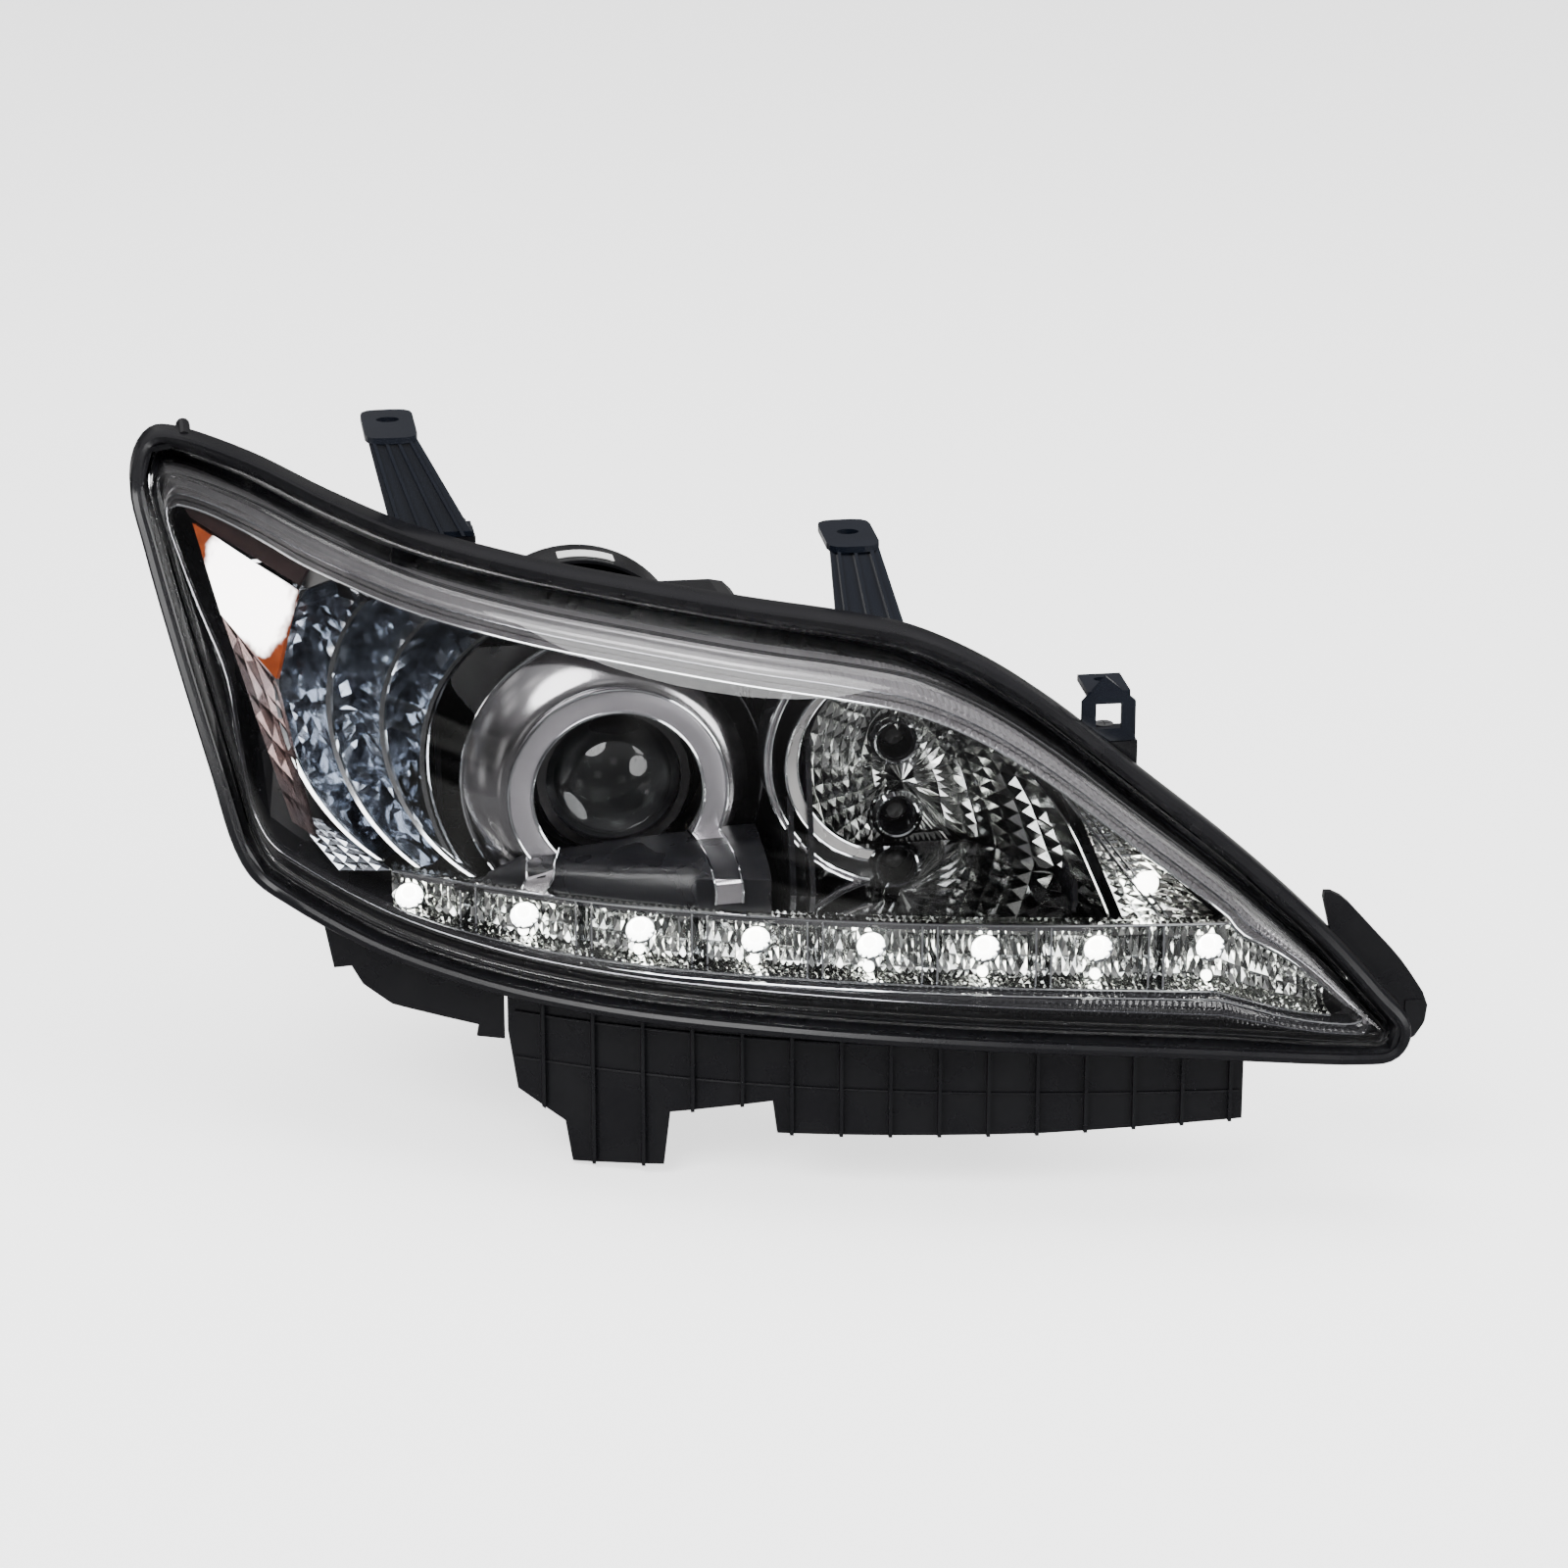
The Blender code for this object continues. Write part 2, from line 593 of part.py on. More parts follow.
def housing(parent):
    """Moulded rear shell: glue channel, tray, two bays, collars, posts and mounting ear."""
    wall_end = edge_ring(TRAY_NARROW, TRAY_WALL)
    floor = [shrunk(wall_end, share, tray_y) for share in TRAY_RINGS]
    rings = [edge_ring(-LIP_OUT, -LIP_FRONT), edge_ring(-LIP_OUT, CHANNEL_FLOOR),
             edge_ring(TRAY_INSET, CHANNEL_FLOOR), wall_end, *floor]
    shell = sheet("housing", rings, SHELL_WALL, 1, capped=True, even=False)
    low_outer, low_void = bay("low_bay", LOW_BAY, LOW_BAY_REAR, LOW_BAY_RIM, LOW_BAY_BACK)
    high_outer, high_void = bay("high_bay", HIGH_BAY, HIGH_BAY, HIGH_BAY_RIM, HIGH_BAY_BACK)
    fuse(shell, low_outer, high_outer)
    cut(shell, low_void, high_void)

    half_wall = SHELL_WALL / 2
    holes = [cylinder("hole", LOW_AXIS, COLLAR_R - half_wall, 0.150, 0.210, TURN_STEPS),
             cylinder("hole", MARKER_AXIS, MARKER_R - half_wall, 0.100, 0.200, TURN_STEPS),
             cylinder("hole", HIGH_AXIS, SOCKET_BORE, 0.078, 0.100, TURN_STEPS),
             cylinder("hole", TURN_AXIS, SOCKET_BORE, 0.078, 0.100, TURN_STEPS),
             cylinder("hole", (AIM_X, AIM_Z), BUSH_R + GAP, 0.150, 0.220),
             block("hole", (CONNECTOR_X - 0.008, 0.078, CONNECTOR_Z - 0.005),
                   (CONNECTOR_X + 0.008, 0.100, CONNECTOR_Z + 0.005))]
    holes += [cylinder("hole", axis, VENT_BORE, 0.150, 0.220) for axis in VENT_AXES]
    cut(shell, *holes)

    collars = [tube("collar", LOW_AXIS, COLLAR_R, COLLAR_R - SHELL_WALL,
                    LOW_BAY_BACK - 2 * SHELL_WALL, LOW_BAY_BACK + COLLAR_LENGTH),
               tube("collar", MARKER_AXIS, MARKER_R, MARKER_R - SHELL_WALL, MARKER_FRONT,
                    MARKER_BACK)]
    ear = prism("ear", rounded(EAR, 0.008, 3), EAR_Y, EAR_Y + EAR_WALL)
    ear_seat = block("ear_seat", *EAR_SEAT)
    posts = [tube("post", (side * PIVOT_X, TILT_Z), POST_R, STUD_R + GAP, TILT_Y + POST_GAP,
                  LOW_BAY_BACK - SHELL_WALL / 2) for side in (-1, 1)]
    knob = cylinder("knob", CORNER_BOSS, CORNER_BOSS_R, *CORNER_BOSS_SPAN)
    pads = [pad(foot) for foot in FEET]
    fuse(shell, *collars, *posts, ear, ear_seat, knob, *pads, block("gusset", *OUTER_GUSSET))
    for foot in FEET:
        cut(shell, *pad_bores(foot))
    finish(shell, "black_plastic", parent)


def outer_lens(parent):
    """Clear cover: a rear wall that turns over a rounded edge into the swept face."""
    rings = [edge_ring(0.0, 0.0),
             ring(0.0012, lambda i, x, z: (edge_y(i) + face_y(x, z) + LENS_ROUND) / 2),
             face_ring(0.0022, LENS_ROUND), face_ring(0.0045, 0.0022), face_ring(0.0085, 0.0)]
    rings += [shrunk(rings[-1], share, face_y) for share in (0.25, 0.50, 0.72, 0.88)]
    lens = sheet("outer_lens", rings, LENS_WALL, -1, capped=True, even=False)
    finish(lens, "clear_plastic", parent)


def lens_seal(parent):
    """Butyl bead that glues the lens into the housing's channel."""
    front, rear = SEAL_SPAN
    outer, inner = SEAL_SHIFTS
    bead = tube_loop("lens_seal", [edge_ring(outer, front), edge_ring(outer, rear),
                                   edge_ring(inner, rear), edge_ring(inner, front)])
    finish(bead, "rubber", parent)


def window_shift(i):
    upward = NORMALS[i].y
    return WINDOW_INSET + WINDOW_INSET_TOP * max(upward, 0.0) \
        + WINDOW_INSET_LOW * LOOP[i].x * max(-upward, 0.0)


def bezel(parent):
    """Frame inside the lens: a ledge that follows the lens wall and turns back at the window."""
    rings = [edge_ring(0.0096, -0.004), face_ring(0.0128, 0.0082),
             face_ring(window_shift, WINDOW_BEHIND),
             face_ring(lambda i: window_shift(i) + 0.001, WINDOW_BEHIND + WINDOW_RETURN)]
    finish(sheet("bezel", rings, TRIM_WALL, -1), "smoked_chrome", parent)


def shelf(parent):
    """Flat gloss shelf under the projector and the bulb chamber; it runs into both bays."""
    start, end = SHELF_SPAN
    stations = [start + (end - start) * k / 30 for k in range(31)]
    front = [(x, face_y(x, SHELF_Z) + SHELF_FRONT) for x in stations]
    back = [(end, face_y(end, SHELF_Z) + SHELF_OPEN_TO)]
    for low, high in reversed(SHELF_BAYS):
        for x in (high, low):
            open_y = face_y(x, SHELF_Z) + SHELF_OPEN_TO
            corners = [(x, open_y), (x, max(open_y, SHELF_REAR_Y))]
            back += corners if x == high else corners[::-1]
    back.append((start, face_y(start, SHELF_Z) + SHELF_OPEN_TO))
    thing = slab("lower_shelf", front + list(dict.fromkeys(back)), SHELF_Z - SHELF_WALL, SHELF_Z)
    finish(thing, "gloss_black", parent)


def below_shelf():
    """Cutter for everything lower than the shelf."""
    return block("below", (-0.2, -0.2, -0.2), (0.2, 0.2, SHELF_Z + GAP))


def projector_trim(parent):
    """Flared shroud round the projector and the flat ring on its front edge."""
    rear = SHROUD_DEPTH
    shroud = turned("projector_shroud", ((RING_OUTER, 0.0054), (0.0610, 0.0132),
                                         (SHROUD_REAR_R, rear), (SHROUD_REAR_R - 0.0018, rear),
                                         (0.0595, 0.0144), (RING_OUTER - 0.0016, 0.0065)))
    trim = turned("trim_ring", ((RING_INNER, 0.0051), (RING_INNER, 0.0033), (0.0405, 0.0022),
                                (0.0500, 0.0022), (RING_OUTER, 0.0033), (RING_OUTER, 0.0051)))
    for thing, finish_name in ((shroud, "smoked_chrome"), (trim, "chrome")):
        cut(thing, below_shelf())
        finish(thing, finish_name, parent)


def step_arc(centre_x, centre_z, radius, behind):
    """Outboard arc of a step, from its lower to its upper end."""
    low = math.asin((STEP_LOW - centre_z) / radius)
    high = math.asin((STEP_HIGH - centre_z) / radius)
    points = []
    for k in range(STEP_POINTS):
        angle = low + (high - low) * k / (STEP_POINTS - 1)
        x = centre_x - radius * math.cos(angle)
        z = centre_z + radius * math.sin(angle)
        points.append(Vector((x, face_y(x, z) + behind, z)))
    return points


def side_steps(parent):
    """Stepped bright fins between the projector and the side reflector."""
    steps = sheet("side_steps", [step_arc(*arc) for arc in STEP_ARCS], TRIM_WALL, 1,
                  closed_loop=False, even=False)
    finish(steps, "chrome", parent)


def chamber(parent):
    """Bowl that holds the high-beam and turn-signal bulbs."""
    rows = [[Vector((x, face_y(x, z) + CHAMBER_BEHIND, z)) for x, z in rounded(CHAMBER, 0.006, 2)]]
    for y, share_x, share_z in CHAMBER_STEPS:
        row = []
        for point in rows[0]:
            x = CHAMBER_CENTRE[0] + (point.x - CHAMBER_CENTRE[0]) * share_x
            z = CHAMBER_CENTRE[1] + (point.z - CHAMBER_CENTRE[1]) * share_z
            row.append(Vector((x, y, z)))
        rows.append(row)
    bowl = sheet("bulb_chamber", rows, TRIM_WALL, -1, capped=True, even=False)
    for axis in (HIGH_AXIS, TURN_AXIS):
        cut(bowl, cylinder("hole", axis, BULB_HOLE_R, 0.020, 0.070, TURN_STEPS))
    finish(bowl, "chrome", parent)


def side_marker(parent):
    """Amber reflector at the outboard corner, with the trim and the bowl behind it."""
    amber = patch("side_reflector", AMBER, AMBER_BEHIND, AMBER_WALL)
    finish(amber, "amber_plastic", parent)
    trim = patch("marker_trim", MARKER_TRIM, MARKER_TRIM_BEHIND, TRIM_WALL, 3, 5)
    finish(trim, "chrome", parent)
    bowl = turned("marker_bowl", ((0.0165, 0.1400), (0.0145, 0.1460), (0.0095, 0.1545),
                                  (0.0080, 0.1545), (0.0130, 0.1452), (0.0150, 0.1400)),
                  MARKER_AXIS)
    finish(bowl, "chrome", parent)


def strip_limits(x):
    """Lower and upper edge of the LED strip."""
    low = STRIP_BOTTOM + STRIP_BOTTOM_SLOPE * x
    high = min(STRIP_TOP, STRIP_TOP + STRIP_TAPER * (x - STRIP_TAPER_X))
    return low, high


def strip_point(x, z, behind):
    return Vector((x, face_y(x, -0.060) + behind, z))


def led_strip(parent):
    """Bright trough along the lower edge, its circuit board and the board's emitters."""
    stations = [STRIP_START + (STRIP_END - STRIP_START) * k / STRIP_STATIONS
                for k in range(STRIP_STATIONS + 1)]
    lines = []
    for edge, behind in ((1, STRIP_FRONT), (1, STRIP_BACK), (0, STRIP_BACK), (0, STRIP_FRONT)):
        lines.append([strip_point(x, strip_limits(x)[edge], behind) for x in stations])
    trough = sheet("led_trough", lines, TRIM_WALL / 2, -1, closed_loop=False)
    finish(trough, "chrome", parent)

    last_x = LED_FIRST_X + LED_PITCH * (LED_COUNT - 1) + LED_SIZE
    first_x = LED_FIRST_X - LED_SIZE
    rows = []
    for z in (LED_Z + BOARD_HALF, LED_Z - BOARD_HALF):
        rows.append([strip_point(first_x + (last_x - first_x) * k / STRIP_STATIONS, z,
                                 STRIP_BACK - 0.0030) for k in range(STRIP_STATIONS + 1)])
    board = sheet("led_board", rows, BOARD_WALL, -1, closed_loop=False)
    half = LED_SIZE / 2
    for k in range(LED_COUNT):
        x = LED_FIRST_X + LED_PITCH * k
        front = strip_point(x, LED_Z, STRIP_BACK).y
        fuse(board, block("emitter", (x - half, front - 0.0066, LED_Z - half + 0.0001),
                          (x + half, front - 0.0025, LED_Z + half)))
    finish(board, "circuit_board", parent)


def tip_trim(parent):
    """Bright triangular panel between the chamber and the tip, with its single emitter."""
    panel = patch("tip_trim", TIP_TRIM, TIP_TRIM_BEHIND, TRIM_WALL, 3, 6)
    finish(panel, "chrome", parent)
    x, z = TIP_LED
    front = face_y(x, z) + TIP_TRIM_BEHIND - 0.0050
    board = prism("tip_led", rounded(((x - 0.005, z - 0.004), (x - 0.005, z + 0.004),
                                      (x + 0.005, z + 0.004), (x + 0.005, z - 0.004)), 0.001, 2),
                  front, front + 0.0012)
    fuse(board, block("emitter", (x - 0.002, front - 0.0012, z - 0.002),
                      (x + 0.002, front + 0.0006, z + 0.002)))
    finish(board, "circuit_board", parent)


# ---------------------------------------------------------------- brackets and fasteners
def upper_bracket(parent, name, head, hole, foot, grooves):
    """Screw-on bracket: a flat slotted head and a ribbed arm down to a foot on the housing."""
    x_low, x_high, y_front, y_back, z_seat = head
    foot_low, foot_high, foot_y, foot_z = foot
    wall = BRACKET_WALL
    arm_y = y_front + 0.004
    outline = rounded(((x_low, y_front), (x_low, y_back), (x_high, y_back), (x_high, y_front)),
                      0.008)
    plate = slab(name, outline, z_seat, z_seat + wall)

    def across(low_x, high_x, y_low, y_high, z):
        return [(low_x, y_low, z), (high_x, y_low, z), (high_x, y_high, z), (low_x, y_high, z)]

    arm = loft("arm", across(foot_low, foot_high, foot_y, foot_y + wall, foot_z + 0.0005),
               across(x_low + 0.001, x_high - 0.001, arm_y, arm_y + wall, z_seat + wall * 0.6))
    base = block("base", (foot_low, foot_y - 0.0004, foot_z),
                 (foot_high, foot_y + FOOT_DEPTH, foot_z + FOOT_WALL))
    ribs = []
    half = RIB_WIDTH / 2
    for k in range(grooves):
        share = (k + 0.5) / grooves
        low = foot_low + (foot_high - foot_low) * share
        high = x_low + 0.001 + (x_high - x_low - 0.002) * share
        ribs.append(loft("rib", across(low - half, low + half, foot_y - RIB_HEIGHT,
                                       foot_y + wall / 2, foot_z + 0.0010),
                         across(high - half, high + half, arm_y - RIB_HEIGHT, arm_y + wall / 2,
                                z_seat + 0.0011)))
    fuse(plate, arm, base, *ribs)
    x, y, radius = hole
    cut(plate, upright_hole("slot", x, y, radius, z_seat - 0.02, z_seat + 0.02, 1.25),
        *screw_holes(foot))
    finish(plate, "bracket_plastic", parent)


def screw_holes(foot):
    """Cutters for the screws of a bracket foot."""
    z = foot[3]
    return [upright_hole("hole", x, y, FASTENER_R + GAP, z - 0.01, z + 0.01)
            for x, y in screw_places(foot)]


def upright_screw(parent, name, place):
    """Pan-head screw that stands along Z with its seat at the given place."""
    x, y, z = place

    def disc(radius):
        return [(x + radius * math.cos(2.0 * math.pi * k / SMALL_STEPS),
                 y + radius * math.sin(2.0 * math.pi * k / SMALL_STEPS))
                for k in range(SMALL_STEPS)]

    head = slab(name, disc(FASTENER_HEAD_R), z, z + 0.0022)
    fuse(head, slab("shank", disc(FASTENER_R), z - 0.0095, z + 0.0008))
    cut(head, block("cross", (x - 0.0028, y - 0.0005, z + 0.0012),
                    (x + 0.0028, y + 0.0005, z + 0.0040)),
        block("cross", (x - 0.0005, y - 0.0028, z + 0.0012),
              (x + 0.0005, y + 0.0028, z + 0.0040)))
    finish(head, "steel", parent)


def side_bracket(parent):
    """Small upright tab with a window and a folded head."""
    x_low, x_high, y, z = SIDE_FOOT
    middle = (x_low + x_high) / 2
    tab = prism("side_bracket", SIDE_TAB, y, y + BRACKET_WALL)
    head = block("head", (x_low + 0.0025, y + 0.001, SIDE_HEAD_Z),
                 (x_high - 0.0025, y + SIDE_HEAD_DEPTH, SIDE_HEAD_Z + BRACKET_WALL))
    foot = block("foot", (x_low, y, z), (x_high, y + FOOT_DEPTH, z + FOOT_WALL))
    fuse(tab, head, foot)
    cut(tab, block("window", (middle - 0.006, y - 0.01, z + 0.006),
                   (middle + 0.006, y + 0.01, z + 0.018)),
        upright_hole("hole", middle, y + SIDE_HOLE_Y, SIDE_HOLE_R, SIDE_HEAD_Z - 0.01,
                     SIDE_HEAD_Z + 0.01, 1.3), *screw_holes(SIDE_FOOT))
    finish(tab, "bracket_plastic", parent)


def curved_wall(name, x_low, x_high, stations, behind, wall, ribs, rib_depth):
    """Upright wall that follows the foot of the lens, with ribs on its front."""
    def front_y(x):
        return face_y(x, -0.090) + behind
    front = []
    for k in range(stations + 1):
        x = x_low + (x_high - x_low) * k / stations
        if ribs and 0 < k < stations:
            half = RIB_WIDTH / 2
            front += [(x - half, front_y(x - half)), (x - half, front_y(x - half) - rib_depth),
                      (x + half, front_y(x + half) - rib_depth), (x + half, front_y(x + half))]
        else:
            front.append((x, front_y(x)))
    back = [(x_high - (x_high - x_low) * k / stations) for k in range(stations + 1)]
    outline = front + [(x, front_y(x) + wall) for x in back]
    return slab(name, outline, -0.200, -0.050)


def lower_brackets(parent):
    """Ribbed bumper bracket under the lens and the plain one at the fender."""
    apron = curved_wall("bumper_bracket", -0.060, 0.295, APRON_RIBS, APRON_BEHIND, APRON_WALL,
                        True, APRON_RIB_DEPTH)
    combine(apron, [prism("outline", APRON, -0.20, 0.20)], "INTERSECT")
    finish(apron, "black_plastic", parent)
    fender = curved_wall("fender_bracket", -0.145, -0.050, 6, APRON_BEHIND, APRON_WALL, False, 0.0)
    combine(fender, [prism("outline", FENDER_BRACKET, -0.20, 0.20)], "INTERSECT")
    finish(fender, "black_plastic", parent)


# ---------------------------------------------------------------- projector and its aiming gear
def projector(parent):
    """Lens, holder, cut-off shield, bowl and bulb on the carrier that tilts in the housing."""
    pivot = (0.0, TILT_Y, TILT_Z)
    sagitta = LENS_EDGE_Y - LENS_VERTEX_Y
    sphere = (PROJECTOR_LENS_R ** 2 + sagitta ** 2) / (2.0 * sagitta)
    dome = []
    for k in range(5):
        radius = PROJECTOR_LENS_R * math.sin(math.pi / 2 * k / 4)
        dome.append((radius, LENS_VERTEX_Y + sphere - math.sqrt(sphere ** 2 - radius ** 2)))
    lens = turned("projector_lens", (*dome, (PROJECTOR_LENS_R, LENS_REAR_Y), (0.0, LENS_REAR_Y)))
    finish(lens, "glass", parent, pivot)

    holder = turned("lens_holder", ((0.0318, 0.0235), (0.0360, 0.0235), (0.0380, 0.0280),
                                    (0.0380, 0.0482), (0.0455, 0.0485), (0.0455, 0.0520),
                                    (0.0350, 0.0520), (0.0350, 0.0360), (0.0290, 0.0356),
                                    (0.0290, 0.0336), (0.0318, 0.0333)))
    finish(holder, "aluminium", parent, pivot)

    shield = turned("cutoff_shield", ((0.0, 0.0523), (0.0455, 0.0523), (0.0455, 0.0535),
                                      (0.0, 0.0535)))
    opening = [(0.0330 * math.cos(math.pi * k / 12), 0.0010 + 0.0330 * math.sin(math.pi * k / 12))
               for k in range(13)]
    opening += [(-0.0060, 0.0010), (-0.0040, -0.0012), (0.0060, -0.0012)]
    cut(shield, prism("opening", opening, 0.045, 0.060))
    finish(shield, "steel", parent, pivot)

    bowl = turned("projector_bowl", ((0.0375, 0.0538), (0.0345, 0.0700), (0.0285, 0.0880),
                                     (0.0205, 0.1040), (0.0120, 0.1155), (0.0120, 0.1180),
                                     (0.0165, 0.1180), (0.0235, 0.1055), (0.0305, 0.0925),
                                     (0.0310, 0.0897), (0.0400, 0.0897), (0.0400, 0.0872),
                                     (0.0325, 0.0872),
                                     (0.0370, 0.0720), (0.0402, 0.0568), (0.0455, 0.0563),
                                     (0.0455, 0.0538)))
    finish(bowl, "aluminium", parent, pivot)

    carrier = prism("carrier_plate", rounded(CARRIER, 0.005, 3), CARRIER_Y,
                    CARRIER_Y + CARRIER_WALL)
    cut(carrier, cylinder("bore", LOW_AXIS, CARRIER_BORE, 0.080, 0.100, TURN_STEPS),
        cylinder("bore", (AIM_X, AIM_Z), SCREW_R + 0.0020, 0.080, 0.100))
    finish(carrier, "steel", parent, pivot)

    rear = CARRIER_Y + CARRIER_WALL + GAP
    for side, word in ((-1, "outboard"), (1, "inboard")):
        cup = [(0.0, rear), (0.0065, rear), (0.0065, TILT_Y + 0.0024), (0.0036, TILT_Y + 0.0024)]
        for degrees in (20, 0, -28, -60):
            angle = math.radians(degrees)
            cup.append(((BALL_R + GAP) * math.cos(angle), TILT_Y + (BALL_R + GAP) * math.sin(angle)))
        cup.append((0.0, TILT_Y - BALL_R - GAP))
        socket = turned("pivot_socket_" + word, cup, (side * PIVOT_X, TILT_Z), SMALL_STEPS)
        finish(socket, "nylon", parent, pivot)

    nut = block("adjuster_nut", (AIM_X - 0.0070, rear, AIM_Z - 0.0070),
                (AIM_X + 0.0070, rear + 0.0080, AIM_Z + 0.0070))
    cut(nut, cylinder("thread", (AIM_X, AIM_Z), SCREW_R + 0.0008, 0.080, 0.120))
    finish(nut, "nylon", parent, pivot)

    bulb = turned("low_beam_bulb", ((0.0, 0.0800), (0.0030, 0.0812), (0.0045, 0.0840),
                                    (0.0045, 0.1178), (0.0, 0.1178)), steps=SMALL_STEPS)
    finish(bulb, "glass", parent, pivot)
    base = turned("low_beam_bulb_base", ((0.0, 0.1181), (0.0115, 0.1183), (0.0115, 0.1207),
                                         (0.0060, 0.1210), (0.0060, 0.1310), (0.0, 0.1310)),
                  steps=SMALL_STEPS)
    finish(base, "steel", parent, pivot)
    bracket = block("clip_bracket", (-0.0022, 0.1183, 0.0128), (0.0022, 0.1238, 0.0166))
    finish(bracket, "steel", parent, pivot)


def bulb_clip(parent):
    """Spring wire that presses the low-beam bulb home and swings back off it."""
    route = ((-0.0030, CLIP_Y, CLIP_Z), (-0.0128, CLIP_Y, CLIP_Z),
             (-0.0128, CLIP_Y + 0.0012, CLIP_Z - 0.0310), (0.0128, CLIP_Y + 0.0012, CLIP_Z - 0.0310),
             (0.0128, CLIP_Y, CLIP_Z), (0.0030, CLIP_Y, CLIP_Z))
    curve = bpy.data.curves.new("bulb_clip", "CURVE")
    curve.dimensions = "3D"
    curve.bevel_depth = CLIP_WIRE_R
    curve.bevel_resolution = 2
    curve.use_fill_caps = True
    spline = curve.splines.new("POLY")
    spline.points.add(len(route) - 1)
    for point, place in zip(spline.points, route):
        point.co = (*place, 1.0)
    guide = bpy.data.objects.new("guide", curve)
    bpy.context.scene.collection.objects.link(guide)
    bpy.context.view_layer.update()
    evaluated = guide.evaluated_get(bpy.context.evaluated_depsgraph_get())
    bm = bmesh.new()
    bm.from_mesh(evaluated.to_mesh())
    bpy.data.objects.remove(guide, do_unlink=True)
    bmesh.ops.remove_doubles(bm, verts=bm.verts, dist=WELD)
    finish(make("bulb_clip", bm), "steel", parent, (0.0, CLIP_Y, CLIP_Z))


def aiming_gear(parent):
    """Ball studs that carry the projector, and the toothed screw that tilts it."""
    for side, word in ((-1, "outboard"), (1, "inboard")):
        stud = [(BALL_R * math.sin(math.radians(a)), TILT_Y - BALL_R * math.cos(math.radians(a)))
                for a in (0, 30, 60, 90, 120, 150)]
        stud += [(STUD_R, TILT_Y + STUD_LENGTH), (0.0, TILT_Y + STUD_LENGTH)]
        ball = turned("pivot_ball_" + word, stud, (side * PIVOT_X, TILT_Z), SMALL_STEPS)
        finish(ball, "steel", parent)

    outer = LOW_BAY_BACK + GAP
    bush = turned("aim_bush", ((SCREW_R + GAP, 0.1780), (SCREW_R + GAP, outer + 0.0045),
                               (0.0078, outer + 0.0045), (0.0078, outer), (BUSH_R, outer),
                               (BUSH_R, 0.1780)), (AIM_X, AIM_Z), SMALL_STEPS)
    finish(bush, "nylon", parent)

    gear_y = outer + 0.0045 + GAP
    teeth = []
    for k in range(AIM_GEAR_TEETH * 2):
        radius = AIM_GEAR_R if k % 2 else AIM_GEAR_R - 0.0016
        angle = math.pi * k / AIM_GEAR_TEETH
        teeth.append((AIM_X + radius * math.cos(angle), AIM_Z + radius * math.sin(angle)))
    screw = prism("aim_screw", teeth, gear_y, gear_y + 0.0055)
    fuse(screw, cylinder("shank", (AIM_X, AIM_Z), SCREW_R, 0.0850, gear_y + 0.002))
    cut(screw, block("slot", (AIM_X - 0.0035, gear_y + 0.0030, AIM_Z - 0.0006),
                     (AIM_X + 0.0035, gear_y + 0.0100, AIM_Z + 0.0006)))
    finish(screw, "nylon", parent, (AIM_X, gear_y, AIM_Z))


# ---------------------------------------------------------------- rear of the lamp
def low_beam_cap(parent):
    """Bayonet cap behind the low-beam bulb, with its seal and a blank label."""
    axis = (0.0, CAP_BACK, 0.0)
    front = LOW_BAY_BACK + 0.0025
    edge = CAP_R - SHELL_WALL
    inside = CAP_BACK - CAP_WALL
    cap = turned("low_beam_cap", ((0.0, CAP_BACK), (edge, CAP_BACK), (CAP_R, CAP_BACK - SHELL_WALL),
                                  (CAP_R, front), (edge, front), (edge, inside - 0.0010),
                                  (CAP_SKIRT_R, inside - 0.0010), (CAP_SKIRT_R, front),
                                  (0.0430, front), (0.0430, 0.1995), (0.0395, 0.1995),
                                  (0.0395, inside), (0.0, inside)), steps=CAP_STEPS)
    grip = prism("grip", rounded(((-0.030, -0.006), (-0.030, 0.006), (0.030, 0.006),
                                  (0.030, -0.006)), 0.004), CAP_BACK - 0.0010, CAP_BACK + 0.0085)
    fuse(cap, grip)
    finish(cap, "black_plastic", parent, axis)
    seal = turned("cap_seal", ((COLLAR_R + GAP, 0.1885), (COLLAR_R + GAP, 0.1925),
                               (0.0427, 0.1925), (0.0427, 0.1885)), steps=CAP_STEPS)
    finish(seal, "rubber", parent, axis)
    rows = []
    for y in LABEL_SPAN:
        row = []
        for k in range(LABEL_POINTS):
            angle = math.radians(LABEL_ARC[0] + (LABEL_ARC[1] - LABEL_ARC[0]) * k / (LABEL_POINTS - 1))
            row.append(Vector(((CAP_R + GAP) * math.cos(angle), y,
                               (CAP_R + GAP) * math.sin(angle))))
        rows.append(row)
    label = sheet("cap_label", rows, 0.0004, -1, closed_loop=False)
    finish(label, "label", parent, axis)


def plug(name, axis, body_r, flange_r, wall_y, flange_gap, rear_r, rear_y):
    """Bulb holder: a body in the hole, a flange, and a rear barrel with a plug block."""
    flange = wall_y + flange_gap
    thing = turned(name, ((0.0, wall_y - 0.0080), (body_r, wall_y - 0.0080), (body_r, flange),
                          (flange_r, flange), (flange_r, flange + 0.0030),
                          (rear_r, flange + 0.0034), (rear_r, rear_y), (0.0, rear_y)), axis)
    x, z = axis
    fuse(thing, block("plug", (x - 0.0075, rear_y - 0.0040, z - 0.0050),
                      (x + 0.0075, rear_y + 0.0110, z + 0.0050)))
    cut(thing, block("cavity", (x - 0.0062, rear_y + 0.0030, z - 0.0037),
                     (x + 0.0062, rear_y + 0.0200, z + 0.0037)))
    return thing


